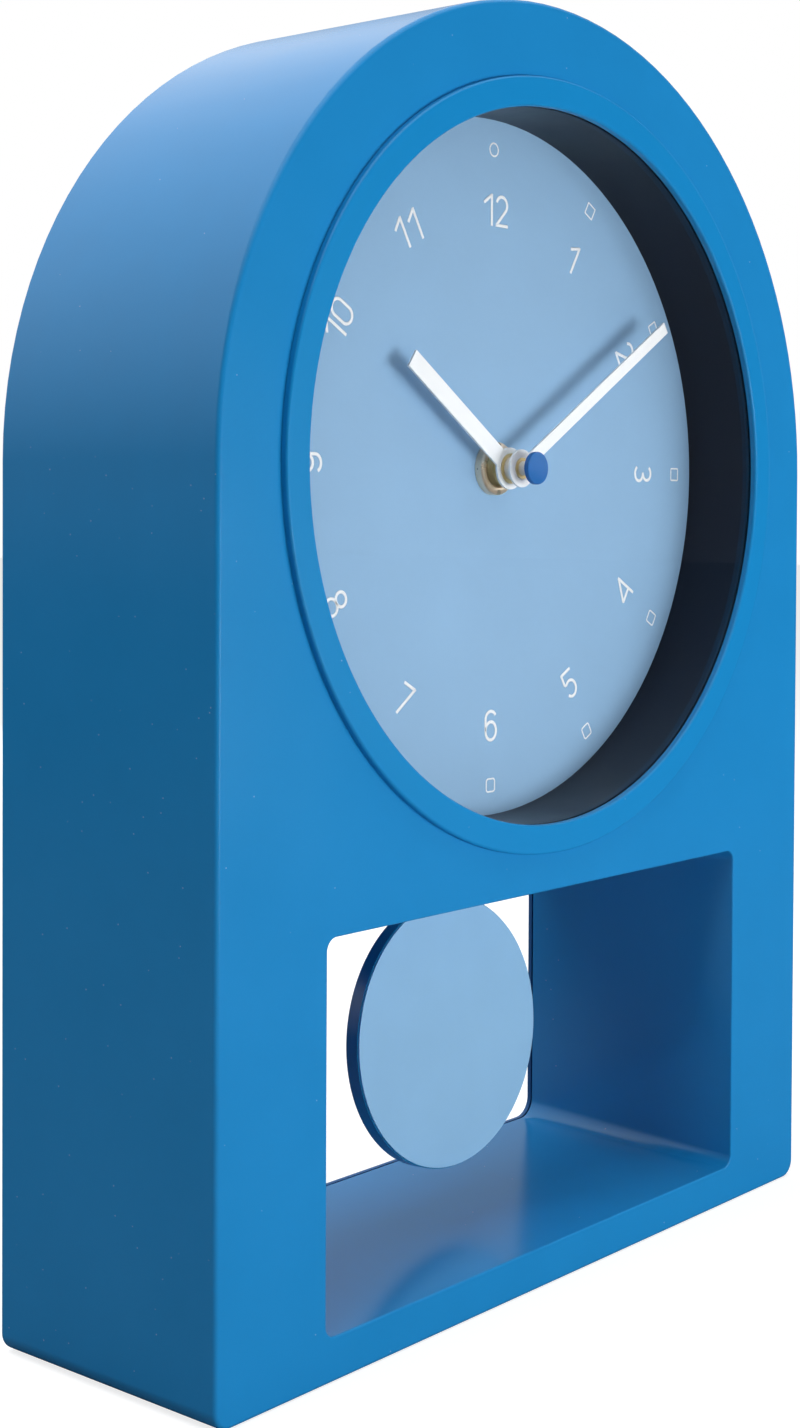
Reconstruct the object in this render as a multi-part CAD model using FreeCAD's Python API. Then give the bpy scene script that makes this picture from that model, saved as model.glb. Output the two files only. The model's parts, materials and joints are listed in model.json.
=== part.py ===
import FreeCAD, Part
import math
import os

# Desk pendulum clock: an arch-topped case with a deep-set dial over a window where the pendulum swings.
# X runs to the right, Y from front to back and Z up. Depths below are measured from the case's front
# face, and save() moves every piece so that the origin lies under the middle of the clock.

V = FreeCAD.Vector
FORWARD = V(0, 1, 0)
SIDEWAYS = V(1, 0, 0)

# Case
case_depth = 62.5
case_wall = 2.5
case_front_round = 1.0
case_rear_round = 0.6
base_round = 4.0
bezel_border = 16.0

# Window for the pendulum
window_side = 29.0
window_bottom = 9.0
window_height = 78.0
window_bezel_gap = 8.3
window_round = 2.6
window_rear_round = 4.6
window_rear_inset = 2.3
window_edge_round = 0.4
ceiling_slot_depth = 7.0
ceiling_slot_spare = 1.6

# Bezel, lens, gasket and the tube between lens and dial
bezel_inner_radius = 77.6
bezel_width = 6.4
bezel_stand = 1.5
bezel_edge_round = 0.6
bezel_lip_depth = 0.1
bezel_skirt_wall = 1.2
bezel_fit = 0.2
lens_overlap = 2.3
lens_thickness = 1.2
lens_fit = 0.2
gasket_thickness = 0.4
shroud_wall = 1.6
shroud_flange_width = 5.9
shroud_flange_thickness = 1.8
shroud_ear_radius = 4.0
shroud_ear_gap = 0.5
shroud_ear_thickness = 2.0
shroud_boss_height = 6.0
shroud_ear_count = 4
shroud_ear_start_deg = 45.0

# Dial
dial_face_depth = 19.2
dial_thickness = 1.0
dial_margin = 0.6
dial_screw_count = 4
dial_boss_radius = 2.0
dial_boss_length = 6.0

# Screws: shank radius, head radius, head height and length of bite of each kind
shroud_screw = {"shank": 1.4, "head": 2.8, "head_height": 2.0, "bite": 5.0}
dial_screw = {"shank": 0.8, "head": 1.6, "head_height": 1.1, "bite": 4.0}
panel_screw = {"shank": 1.25, "head": 2.3, "head_height": 0.9, "bite": 8.0}
screw_hole_spare = 0.2
drive_slot_width = 0.6
drive_slot_depth = 0.45
thread_fit = 0.05

# Back panel
panel_thickness = 1.0
panel_fit = 0.3
panel_tunnel_gap = 0.5
panel_boss_radius = 3.5
panel_boss_bury = 0.5
panel_low_boss_rise = 7.0
panel_mid_boss_rise = 25.0
panel_top_boss_deg = 60.0
panel_drive_slot_depth = 0.3
access_margin = 4.0
access_round = 6.0

# Movement case; heights are measured up or down from the hand shaft
movement_top = 27.0
movement_depth = 16.0
movement_wall = 1.2
movement_round = 2.5
cushion_thickness = 0.8
cushion_radius = 12.0
post_radius = 1.5
post_side_gap = 5.3
post_top_gap = 3.3
post_low = -7.0
bearing_boss_radius = 1.2
partition_end_gap = 1.3
partition_wall = 1.0

# Threaded bushing and its ring nut
bushing_radius = 4.0
bushing_end_depth = 15.6
bushing_pitch = 0.75
bushing_thread_depth = 0.35
bushing_flange_width = 2.0
bushing_flange_thickness = 0.8
nut_wall = 1.85
nut_thickness = 2.0
nut_slot_count = 4
nut_slot_width = 1.3
nut_slot_depth = 1.3
nut_edge_round = 0.4
nut_fit = 0.05
running_fit = 0.05

# Coaxial shafts
seconds_arbor_radius = 0.5
minute_tube_wall = 1.05
hour_tube_wall = 0.95
hour_tube_end_depth = 12.2
minute_arbor_end_depth = 8.9
seconds_arbor_end_depth = 6.6
thin_arbor_radius = 0.5
pivot_radius = 0.3
pivot_length = 0.7
pivot_fit = 0.04

# Hands, collars and cap
hand_thickness = 0.5
hour_hand_depth = 13.9
hour_hand_reach = 39.6
hour_hand_width = 4.2
hour_boss_width = 2.05
hour_hand_deg = 304.7
minute_hand_depth = 10.6
minute_hand_reach = 65.0
minute_hand_width = 2.8
minute_boss_width = 2.6
minute_hand_deg = 57.4
collar_wall = 0.4
collar_crimp = 0.35
collar_crimp_thickness = 0.25
hour_collar_length = 1.0
minute_collar_length = 0.7
stem_wall = 0.3
stem_length = 1.7
stem_seat_depth = 0.8
cap_radius = 3.6
cap_thickness = 1.3
cap_dome = 0.2
cap_edge_round = 0.3
cap_depth = 5.8

# Gear trains: tooth counts, and the two centre distances that the coaxial wheels share
pressure_angle_deg = 25.0
addendum_share = 0.75
dedendum_share = 1.0
backlash_share = 0.12
wheel_thickness = 0.8
level_gap = 0.4
pinion_overhang = 0.1
motion_distance = 8.0
hour_teeth = 32
motion_pinion_teeth = 8
motion_teeth = 30
minute_pinion_teeth = 10
setting_teeth = 12
train_distance = 11.25
center_teeth = 80
third_pinion_teeth = 10
third_teeth = 75
seconds_pinion_teeth = 10
seconds_teeth = 60
step_pinion_teeth = 10
step_distance = 7.0
step_teeth = 60
rotor_pinion_teeth = 12
motion_stud_radius = 0.6
setting_arbor_radius = 0.9
step_bearing_deg = 120.0
rotor_bearing_deg = 90.0
third_bearing_deg = 0.0
motion_bearing_deg = 180.0

# Train plate, stepping motor and electronics
plate_thickness = 0.8
plate_margin = 2.0
plate_low = 15.0
plate_bottom_gap = 0.4
rotor_radius = 2.6
rotor_length = 2.0
rotor_air_gap = 0.5
stator_thickness = 1.0
stator_rim = 0.65
stator_leg_width = 5.0
core_rise = 2.0
core_height = 3.0
core_thickness = 1.0
coil_radius = 3.2
coil_half_length = 9.5
coil_end_gap = 0.5
coil_fit = 0.05
board_end_gap = 0.05
board_height = 4.0
board_thickness = 1.0
chip_size = 3.4
chip_height = 1.0
chip_x = 6.0
crystal_radius = 1.0
crystal_length = 6.0
crystal_x = -14.0

# Battery bay
battery_radius = 7.2
battery_length = 49.0
battery_nub_radius = 2.75
battery_nub_length = 1.5
battery_fit = 0.05
bay_spare = 0.4
contact_thickness = 0.4
contact_width = 9.0
contact_height = 8.0
contact_strip_width = 2.0
contact_button_radius = 2.5
contact_button_length = 4.3

# Setting knob
knob_radius = 5.5
knob_thickness = 4.0
knob_gap = 0.3
knob_notches = 24
knob_notch_depth = 0.4

# Pendulum drive and pendulum
swing_deg = 12.0
magnet_reach = 9.0
coil_floor_gap = 0.6
peg_below_case = 5.0
hanger_rear_gap = 2.0
hanger_thickness = 1.8
hanger_top_gap = 1.0
hanger_arm_width = 5.0
hanger_seat_width = 1.2
hanger_tail_width = 4.0
hanger_pin_radius = 0.75
hanger_eye_wall = 1.6
hanger_boss_wall = 1.25
hanger_side_play = 0.4
hanger_pin_seat = 4.0
magnet_radius = 3.0
magnet_thickness = 1.6
magnet_gap = 0.8
drive_coil_wall = 3.1
drive_coil_bore = 2.1
drive_coil_length = 5.0
tail_slot_spare = 1.5
peg_radius = 1.2
peg_head_width = 0.6
peg_head_thickness = 0.4
rod_fit = 0.1
rod_eye_wall = 1.3
rod_width = 4.0
rod_thickness = 1.0
rod_seat_gap = 0.2
bob_top_gap = 5.6
bob_floor_gap = 11.6
bob_face_to_rod = 4.0
bob_thickness = 3.9
bob_face_thickness = 0.4
bob_face_inset = 0.25
bob_lean_deg = 4.0
bob_edge_round = 0.3
rod_end_share = 0.4
clip_side_width = 4.0
clip_high_share = 0.13
clip_low_share = 0.26
clip_depth = 2.6

overrun = 1.0
same_plane = 1e-6

# Sizes across the front that follow from the ones above
bezel_outer_radius = bezel_inner_radius + bezel_width
lens_radius = bezel_inner_radius + lens_overlap
skirt_radius = lens_radius + lens_fit + bezel_skirt_wall
shroud_outer_radius = bezel_inner_radius + shroud_wall
shroud_flange_radius = bezel_inner_radius + shroud_flange_width
shroud_boss_reach = shroud_flange_radius + shroud_ear_gap + shroud_ear_radius
dial_radius = shroud_flange_radius - dial_margin
dial_screw_reach = (shroud_outer_radius + dial_radius) / 2
case_arch_radius = bezel_outer_radius + bezel_border
case_width = 2 * case_arch_radius
window_top = window_bottom + window_height
window_width = case_width - 2 * window_side
dial_z = window_top + window_bezel_gap + bezel_outer_radius
bob_radius = (window_height - bob_top_gap - bob_floor_gap) / 2
bob_z = window_bottom + bob_floor_gap + bob_radius

# Heights and widths inside the movement
battery_drop = plate_low + plate_bottom_gap + partition_wall + bay_spare + battery_radius
hanger_eye_radius = hanger_pin_radius + hanger_eye_wall
pivot_drop = battery_drop + battery_radius + bay_spare + partition_wall + hanger_top_gap + hanger_eye_radius
magnet_drop = pivot_drop + magnet_reach
drive_coil_radius = drive_coil_bore + drive_coil_wall
movement_bottom = magnet_drop + drive_coil_radius + coil_floor_gap + movement_wall
peg_drop = movement_bottom + peg_below_case
pivot_z = dial_z - pivot_drop
magnet_z = dial_z - magnet_drop
peg_z = dial_z - peg_drop
inner_end = (battery_length + battery_nub_length + contact_button_length) / 2 + contact_thickness
movement_half_width = inner_end + movement_wall
post_x = inner_end - post_side_gap
post_high = movement_top - movement_wall - post_top_gap
minute_arbor_radius = seconds_arbor_radius + running_fit + minute_tube_wall
hour_tube_radius = minute_arbor_radius + running_fit + hour_tube_wall
rod_eye_radius = peg_radius + rod_eye_wall

# Depths of the stacked pieces, from front to back
lens_front = bezel_lip_depth
lens_back = lens_front + lens_thickness
shroud_front = lens_back + gasket_thickness
dial_back = dial_face_depth + dial_thickness
movement_front = dial_back + cushion_thickness
movement_back = movement_front + movement_depth
movement_inner_front = movement_front + movement_wall
movement_inner_back = movement_back - movement_wall
movement_split = (movement_front + movement_back) / 2
panel_front = case_depth - panel_thickness
tunnel_end = panel_front - panel_tunnel_gap
hour_level = movement_inner_front + bushing_flange_thickness + level_gap / 2
motion_level = hour_level + wheel_thickness + level_gap
center_level = motion_level + wheel_thickness + level_gap
plate_front = center_level + wheel_thickness + level_gap
plate_back = plate_front + plate_thickness
third_level = plate_back + level_gap
seconds_level = third_level + wheel_thickness + level_gap
step_level = seconds_level + wheel_thickness + level_gap
rotor_level = step_level + wheel_thickness + level_gap
stator_front = rotor_level + (rotor_length - stator_thickness) / 2
hanger_back = movement_inner_back - hanger_rear_gap
hanger_front = hanger_back - hanger_thickness
drive_coil_back = hanger_front - magnet_thickness - magnet_gap
rod_front = hanger_back + rod_seat_gap
rod_back = rod_front + rod_thickness
bob_face_depth = rod_front - bob_face_to_rod


def cylinder(radius, y0, y1, axis=(0.0, 0.0)):
    """Round bar along Y between two depths; axis is its place across and up."""
    return Part.makeCylinder(radius, y1 - y0, V(axis[0], y0, axis[1]), FORWARD)


def ring(outer, inner, y0, y1, axis=(0.0, 0.0)):
    """Tube along Y."""
    bore = cylinder(inner, y0 - overrun, y1 + overrun, axis)
    return cylinder(outer, y0, y1, axis).cut(bore)


def box(x0, x1, y0, y1, z0, z1):
    """Block between three pairs of planes."""
    return Part.makeBox(x1 - x0, y1 - y0, z1 - z0, V(x0, y0, z0))


def rounded_block(x0, x1, y0, y1, z0, z1, radius):
    """Block whose four edges along Y are rounded."""
    block = box(x0, x1, y0, y1, z0, z1)
    corners = [e for e in block.Edges if abs(e.tangentAt(e.FirstParameter).y) > 0.9]
    return block.makeFillet(radius, corners)


def prism(points, y0, y1):
    """Polygon in the XZ plane, drawn out along Y."""
    corners = [V(x, y0, z) for x, z in points]
    face = Part.Face(Part.makePolygon(corners + corners[:1]))
    return face.extrude(V(0, y1 - y0, 0))


def turned(profile, axis=(0.0, 0.0)):
    """Solid of revolution about Y from a closed (radius, depth) profile."""
    corners = [V(axis[0] + r, y, axis[1]) for r, y in profile]
    face = Part.Face(Part.makePolygon(corners + corners[:1]))
    return face.revolve(V(axis[0], 0, axis[1]), FORWARD, 360)


def edges_at_depth(shape, depth):
    """Edges that lie wholly in one plane across Y."""
    return [e for e in shape.Edges if all(abs(v.Y - depth) < same_plane for v in e.Vertexes)
            and abs(e.valueAt((e.FirstParameter + e.LastParameter) / 2).y - depth) < same_plane]


def around(count, start_deg, reach, center=(0.0, 0.0)):
    """Evenly spaced places on a circle."""
    turns = [math.radians(start_deg + i * 360.0 / count) for i in range(count)]
    return [(center[0] + reach * math.cos(t), center[1] + reach * math.sin(t)) for t in turns]


def polar(reach, degrees, center):
    """One place at a distance and bearing from another."""
    t = math.radians(degrees)
    return (center[0] + reach * math.cos(t), center[1] + reach * math.sin(t))


def arch(inset, y0, y1):
    """The case's outline, drawn in by inset, as a solid between two depths."""
    half = case_width / 2 - inset
    corner = max(base_round - inset, case_rear_round)
    swing = corner * (1 - math.sqrt(0.5))

    def p(x, z):
        return V(x, y0, z)

    edges = [
        Part.makeLine(p(corner - half, inset), p(half - corner, inset)),
        Part.Arc(p(half - corner, inset), p(half - swing, inset + swing), p(half, inset + corner)).toShape(),
        Part.makeLine(p(half, inset + corner), p(half, dial_z)),
        Part.Arc(p(half, dial_z), p(0, dial_z + half), p(-half, dial_z)).toShape(),
        Part.makeLine(p(-half, dial_z), p(-half, inset + corner)),
        Part.Arc(p(-half, inset + corner), p(swing - half, inset + swing), p(corner - half, inset)).toShape(),
    ]
    return Part.Face(Part.Wire(edges)).extrude(V(0, y1 - y0, 0))


def window_outline(grow, y):
    """The window's outline at one depth; it closes in and its corners grow toward the back."""
    travel = y / case_depth
    inset = window_rear_inset * travel - grow
    corner = window_round + (window_rear_round - window_round) * travel + grow
    half = window_width / 2 - inset
    block = rounded_block(-half, half, y, y + overrun, window_bottom + inset, window_top - inset, corner)
    return [f for f in block.Faces if abs(f.CenterOfMass.y - y) < same_plane][0].OuterWire


def window_block(grow, y0, y1):
    """The tapered window, grown all round, as a solid between two depths."""
    return Part.makeLoft([window_outline(grow, y0), window_outline(grow, y1)], True, True)


# Gears
def involute(angle):
    return math.tan(angle) - angle


def tooth_half_angle(radius, pitch_radius, teeth):
    """Half the angle that a tooth covers at a radius."""
    base = pitch_radius * math.cos(math.radians(pressure_angle_deg))
    flank = math.acos(base / radius) if radius > base else 0.0
    at_pitch = math.pi / (2 * teeth) * (1 - backlash_share)
    return at_pitch + involute(math.radians(pressure_angle_deg)) - involute(flank)


def gear(teeth, module, phase, y0, y1, axis):
    """Spur gear; phase is the bearing of one tooth's middle, from +X towards +Z."""
    pitch_radius = teeth * module / 2
    tip = pitch_radius + addendum_share * module
    root = pitch_radius - dedendum_share * module
    wide = tooth_half_angle(root, pitch_radius, teeth)
    narrow = tooth_half_angle(tip, pitch_radius, teeth)
    points = []
    for i in range(teeth):
        middle = phase + i * 2 * math.pi / teeth
        for radius, turn in ((root, -wide), (tip, -narrow), (tip, narrow), (root, wide)):
            points.append((axis[0] + radius * math.cos(middle + turn), axis[1] + radius * math.sin(middle + turn)))
    return prism(points, y0, y1)


def meshed_phase(teeth, phase, axis, other_teeth, other_axis):
    """Phase that puts another gear in mesh with a placed one."""
    bearing = math.atan2(other_axis[1] - axis[1], other_axis[0] - axis[0])
    return bearing + math.pi - (math.pi - teeth * (bearing - phase)) / other_teeth


def pair_module(distance, teeth, other_teeth):
    return 2 * distance / (teeth + other_teeth)


def arbor(radius, front, back, axis, front_pivot=True, back_pivot=True):
    """Axle with thin pivots at its ends; front and back are the shoulders."""
    shape = cylinder(radius, front, back, axis)
    if front_pivot:
        shape = shape.fuse(cylinder(pivot_radius, front - pivot_length, front, axis))
    if back_pivot:
        shape = shape.fuse(cylinder(pivot_radius, back, back + pivot_length, axis))
    return shape


shaft = (0.0, dial_z)
motion_axis = polar(motion_distance, motion_bearing_deg, shaft)
motion_wheel_module = pair_module(motion_distance, motion_teeth, minute_pinion_teeth)
hour_module = pair_module(motion_distance, hour_teeth, motion_pinion_teeth)
setting_distance = motion_wheel_module * (motion_teeth + setting_teeth) / 2
setting_axis = polar(setting_distance, motion_bearing_deg, motion_axis)
third_axis = polar(train_distance, third_bearing_deg, shaft)
center_module = pair_module(train_distance, center_teeth, third_pinion_teeth)
third_module = pair_module(train_distance, third_teeth, seconds_pinion_teeth)
step_module = pair_module(step_distance, seconds_teeth, step_pinion_teeth)
step_axis = polar(step_distance, step_bearing_deg, shaft)
rotor_distance = step_module * (step_teeth + rotor_pinion_teeth) / 2
rotor_axis = polar(rotor_distance, rotor_bearing_deg, step_axis)
pendulum_axis = (0.0, pivot_z)

minute_phase = 0.0
motion_phase = meshed_phase(minute_pinion_teeth, minute_phase, shaft, motion_teeth, motion_axis)
hour_phase = meshed_phase(motion_pinion_teeth, 0.0, motion_axis, hour_teeth, shaft)
setting_phase = meshed_phase(motion_teeth, motion_phase, motion_axis, setting_teeth, setting_axis)
center_phase = 0.0
third_pinion_phase = meshed_phase(center_teeth, center_phase, shaft, third_pinion_teeth, third_axis)
seconds_pinion_phase = meshed_phase(third_teeth, 0.0, third_axis, seconds_pinion_teeth, shaft)
step_pinion_phase = meshed_phase(seconds_teeth, 0.0, shaft, step_pinion_teeth, step_axis)
rotor_pinion_phase = meshed_phase(step_teeth, 0.0, step_axis, rotor_pinion_teeth, rotor_axis)
stator_window_half = coil_half_length + coil_end_gap
core_low = rotor_axis[1] + rotor_radius + rotor_air_gap + stator_rim + core_rise


# Screws and their places
def pan_screw(kind, seat, axis, direction):
    """Pan-head screw; seat is the depth under its head, and direction -1 drives it towards the front."""
    tip = seat + direction * kind["bite"]
    top = seat - direction * kind["head_height"]
    shank = cylinder(kind["shank"], min(seat, tip), max(seat, tip), axis)
    head = cylinder(kind["head"], min(seat, top), max(seat, top), axis)
    head = head.makeFillet(kind["head_height"] / 2, edges_at_depth(head, top))
    slot_floor = top + direction * drive_slot_depth
    reach = kind["head"] + overrun
    low, high = sorted((slot_floor, top - direction * overrun))
    slot = box(axis[0] - reach, axis[0] + reach, low, high,
               axis[1] - drive_slot_width / 2, axis[1] + drive_slot_width / 2)
    return shank.fuse(head).cut(slot)


def flat_screw(kind, surface, axis):
    """Countersunk screw driven towards the front, its head flush with a surface."""
    under = surface - kind["head_height"]
    profile = [(0, under - kind["bite"]), (kind["shank"], under - kind["bite"]), (kind["shank"], under),
               (kind["head"], surface), (0, surface)]
    slot = box(axis[0] - kind["head"], axis[0] + kind["head"], surface - panel_drive_slot_depth,
               surface + overrun, axis[1] - drive_slot_width / 2, axis[1] + drive_slot_width / 2)
    return turned(profile, axis).cut(slot)


def panel_screw_places():
    """Six places round the back panel, each just inside the side wall."""
    reach = case_width / 2 - case_wall - panel_boss_radius + panel_boss_bury
    rises = (window_bottom + panel_low_boss_rise, window_top + panel_mid_boss_rise)
    places = [(side * reach, z) for side in (-1, 1) for z in rises]
    return places + [polar(reach, turn, shaft) for turn in (panel_top_boss_deg, 180 - panel_top_boss_deg)]


def shroud_screw_places():
    return around(shroud_ear_count, shroud_ear_start_deg, shroud_boss_reach, shaft)


def dial_screw_places():
    return around(dial_screw_count, 0.0, dial_screw_reach, shaft)


def seated_bosses(places, radius, y0, y1, kind):
    """Screw bosses with their pilot holes, open at the back."""
    bosses = []
    for place in places:
        pilot = cylinder(kind["shank"] + thread_fit, y1 - kind["bite"] - overrun, y1 + overrun, place)
        bosses.append(cylinder(radius, y0, y1, place).cut(pilot))
    return bosses


# Case
def case_shell():
    body = arch(0, 0, case_depth)
    body = body.makeFillet(case_front_round, edges_at_depth(body, 0))
    body = body.makeFillet(case_rear_round, edges_at_depth(body, case_depth))
    body = body.cut(arch(case_wall, case_wall, case_depth + overrun))
    body = body.fuse(window_block(case_wall, case_wall / 2, tunnel_end))
    body = body.cut(window_block(0, -overrun, tunnel_end + overrun))
    mouth = [e for e in edges_at_depth(body, 0) if e.BoundBox.ZMax < window_top + window_edge_round
             and e.BoundBox.ZMin > window_bottom - window_edge_round
             and abs(e.CenterOfMass.x) < window_width / 2 + window_edge_round]
    body = body.makeFillet(window_edge_round, mouth)
    body = body.cut(cylinder(skirt_radius + bezel_fit, -overrun, case_wall + overrun, shaft))
    body = body.cut(ceiling_slot())
    boss_end = case_wall + shroud_boss_height
    for boss in seated_bosses(shroud_screw_places(), shroud_ear_radius, case_wall / 2, boss_end, shroud_screw):
        body = body.fuse(boss)
    for boss in seated_bosses(panel_screw_places(), panel_boss_radius, case_wall / 2, panel_front, panel_screw):
        body = body.fuse(boss)
    return body


def ceiling_slot():
    """Slot over the window that the pendulum rod swings in."""
    lowest = window_top - window_rear_inset
    drop = pivot_z - lowest
    half = drop * math.tan(math.radians(swing_deg)) + rod_width / 2 + ceiling_slot_spare
    middle = (rod_front + rod_back) / 2
    return rounded_block(-half, half, middle - ceiling_slot_depth / 2, middle + ceiling_slot_depth / 2,
                         lowest - overrun, window_top + case_wall + overrun, rod_thickness)


def back_panel():
    panel = arch(case_wall + panel_fit, panel_front, case_depth)
    panel = panel.cut(window_block(0, panel_front - overrun, case_depth + overrun))
    half = movement_half_width + access_margin
    panel = panel.cut(rounded_block(-half, half, panel_front - overrun, case_depth + overrun,
                                    dial_z - movement_bottom - access_margin,
                                    dial_z + movement_top + access_margin, access_round))
    seat_spare = panel_screw["head"] + thread_fit
    hole = panel_screw["shank"] + screw_hole_spare
    for place in panel_screw_places():
        under = case_depth - panel_screw["head_height"]
        profile = [(0, under - overrun), (hole, under - overrun), (hole, under),
                   (seat_spare, case_depth), (seat_spare, case_depth + overrun), (0, case_depth + overrun)]
        panel = panel.cut(turned(profile, place))
    return panel


def back_screws():
    return Part.makeCompound([flat_screw(panel_screw, case_depth, place) for place in panel_screw_places()])


# Bezel, lens and shroud
def bezel_ring():
    flange = ring(bezel_outer_radius, bezel_inner_radius, -bezel_stand, lens_front, shaft)
    flange = flange.cut(ring(bezel_outer_radius + overrun, skirt_radius, 0, lens_front + overrun, shaft))
    flange = flange.makeFillet(bezel_edge_round, edges_at_depth(flange, -bezel_stand))
    skirt = ring(skirt_radius, lens_radius + lens_fit, 0, case_wall, shaft)
    return flange.fuse(skirt).removeSplitter()


def lens():
    return cylinder(lens_radius, lens_front, lens_back, shaft)


def lens_gasket():
    return ring(lens_radius, bezel_inner_radius, lens_back, shroud_front, shaft)


def dial_shroud():
    """Dark tube that holds the lens in the bezel and carries the dial."""
    body = cylinder(lens_radius, shroud_front, case_wall, shaft)
    body = body.fuse(cylinder(shroud_flange_radius, case_wall, case_wall + shroud_flange_thickness, shaft))
    body = body.fuse(cylinder(shroud_outer_radius, case_wall, dial_face_depth, shaft))
    rear_flange = dial_face_depth - shroud_flange_thickness
    body = body.fuse(cylinder(shroud_flange_radius, rear_flange, dial_face_depth, shaft))
    ear_front = case_wall + shroud_boss_height
    ear_back = ear_front + shroud_ear_thickness
    for turn, place in zip(range(shroud_ear_count), shroud_screw_places()):
        degrees = shroud_ear_start_deg + turn * 360.0 / shroud_ear_count
        arm = box(shroud_outer_radius - shroud_wall / 2, shroud_boss_reach, ear_front, ear_back,
                  dial_z - shroud_ear_radius, dial_z + shroud_ear_radius)
        arm.rotate(V(0, 0, dial_z), FORWARD, -degrees)
        ear = arm.fuse(cylinder(shroud_ear_radius, ear_front, ear_back, place))
        hole = cylinder(shroud_screw["shank"] + screw_hole_spare, ear_front - overrun, ear_back + overrun, place)
        body = body.fuse(ear.cut(hole))
    for place in dial_screw_places():
        boss = cylinder(dial_boss_radius, dial_face_depth - dial_boss_length, dial_face_depth, place)
        body = body.fuse(boss)
    for place in dial_screw_places():
        pilot_end = dial_face_depth - dial_screw["bite"] - thread_fit
        body = body.cut(cylinder(dial_screw["shank"] + thread_fit, pilot_end, dial_face_depth + overrun, place))
    bore = cylinder(bezel_inner_radius, shroud_front - overrun, dial_face_depth + overrun, shaft)
    return body.cut(bore).removeSplitter()


def shroud_screws():
    seat = case_wall + shroud_boss_height + shroud_ear_thickness
    return Part.makeCompound([pan_screw(shroud_screw, seat, place, -1) for place in shroud_screw_places()])


# Dial
def dial_plate():
    plate = ring(dial_radius, bushing_radius + screw_hole_spare, dial_face_depth, dial_back, shaft)
    for place in dial_screw_places():
        hole = cylinder(dial_screw["shank"] + screw_hole_spare, dial_face_depth - overrun,
                        dial_back + overrun, place)
        plate = plate.cut(hole)
    return plate


def dial_screws():
    return Part.makeCompound([pan_screw(dial_screw, dial_back, place, -1) for place in dial_screw_places()])


def dial_cushion():
    return ring(cushion_radius, bushing_radius + screw_hole_spare, dial_back, movement_front, shaft)


def ring_nut():
    back = dial_face_depth
    front = back - nut_thickness
    nut_radius = bushing_radius + nut_fit + nut_wall
    nut = ring(nut_radius, bushing_radius + nut_fit, front, back, shaft)
    rim = [e for e in edges_at_depth(nut, front) if e.BoundBox.XMax > bushing_radius + nut_wall / 2]
    nut = nut.makeFillet(nut_edge_round, rim)
    for i in range(nut_slot_count):
        slot = box(nut_radius - nut_slot_depth, nut_radius + overrun, front - overrun, back + overrun,
                   dial_z - nut_slot_width / 2, dial_z + nut_slot_width / 2)
        slot.rotate(V(0, 0, dial_z), FORWARD, i * 360.0 / nut_slot_count)
        nut = nut.cut(slot)
    return nut


def bushing():
    """Brass bushing with its fine thread as rings, a flange inside the movement and the hour tube's bore."""
    flange = bushing_radius + bushing_flange_width
    profile = [(0, movement_inner_front + bushing_flange_thickness),
               (flange, movement_inner_front + bushing_flange_thickness),
               (flange, movement_inner_front), (bushing_radius, movement_inner_front)]
    turns = int((movement_front - bushing_end_depth) / bushing_pitch)
    for i in range(turns):
        crest = movement_front - i * bushing_pitch
        profile.append((bushing_radius, crest))
        profile.append((bushing_radius - bushing_thread_depth, crest - bushing_pitch / 2))
    last = movement_front - turns * bushing_pitch
    profile += [(bushing_radius, last), (bushing_radius - bushing_thread_depth, bushing_end_depth),
                (0, bushing_end_depth)]
    bore = cylinder(hour_tube_radius + running_fit, bushing_end_depth - overrun,
                    movement_inner_front + bushing_flange_thickness + overrun, shaft)
    return turned(profile, shaft).cut(bore)


# Movement case
def movement_block(grow, y0, y1):
    half = movement_half_width + grow
    return rounded_block(-half, half, y0, y1, dial_z - movement_bottom - grow, dial_z + movement_top + grow,
                         movement_round + grow)


def post_places():
    return [(side * post_x, dial_z + height) for side in (-1, 1) for height in (post_high, post_low)]


def bay_limits():
    """Heights of the battery bay's floor and roof."""
    middle = dial_z - battery_drop
    return middle - battery_radius - bay_spare, middle + battery_radius + bay_spare


def partitions(y0, y1):
    """Two walls over and under the battery, clear of the contact strips at their ends."""
    low, high = bay_limits()
    end = inner_end - partition_end_gap
    return [box(-end, end, y0, y1, low - partition_wall, low), box(-end, end, y0, y1, high, high + partition_wall)]


def movement_front_case():
    body = movement_block(0, movement_front, movement_split)
    body = body.cut(movement_block(-movement_wall, movement_inner_front, movement_split + overrun))
    parts = [cylinder(post_radius, movement_front, plate_front, place) for place in post_places()]
    parts += partitions(movement_front, movement_split)
    third_boss_end = center_level - level_gap
    parts.append(cylinder(bearing_boss_radius, movement_front, third_boss_end, third_axis))
    setting_boss_end = motion_level - level_gap
    parts.append(cylinder(bearing_boss_radius, movement_front, setting_boss_end, setting_axis))
    parts.append(cylinder(motion_stud_radius, movement_front, center_level - level_gap / 2, motion_axis))
    parts.append(cylinder(drive_coil_bore - coil_fit, movement_front, drive_coil_back, (0.0, magnet_z)))
    pin_boss_end = hanger_front - hanger_side_play
    parts.append(cylinder(hanger_pin_radius + hanger_boss_wall, movement_front, pin_boss_end, pendulum_axis))
    for part in parts:
        body = body.fuse(part)
    body = body.cut(cylinder(bushing_radius + nut_fit, movement_front - overrun, movement_inner_front + overrun,
                             shaft))
    body = body.cut(cylinder(pivot_radius + pivot_fit, third_boss_end - pivot_length - pivot_fit,
                             third_boss_end + overrun, third_axis))
    body = body.cut(cylinder(pivot_radius + pivot_fit, setting_boss_end - pivot_length - pivot_fit,
                             setting_boss_end + overrun, setting_axis))
    body = body.cut(cylinder(hanger_pin_radius, hanger_pin_front(), pin_boss_end + overrun, pendulum_axis))
    return body


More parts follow.
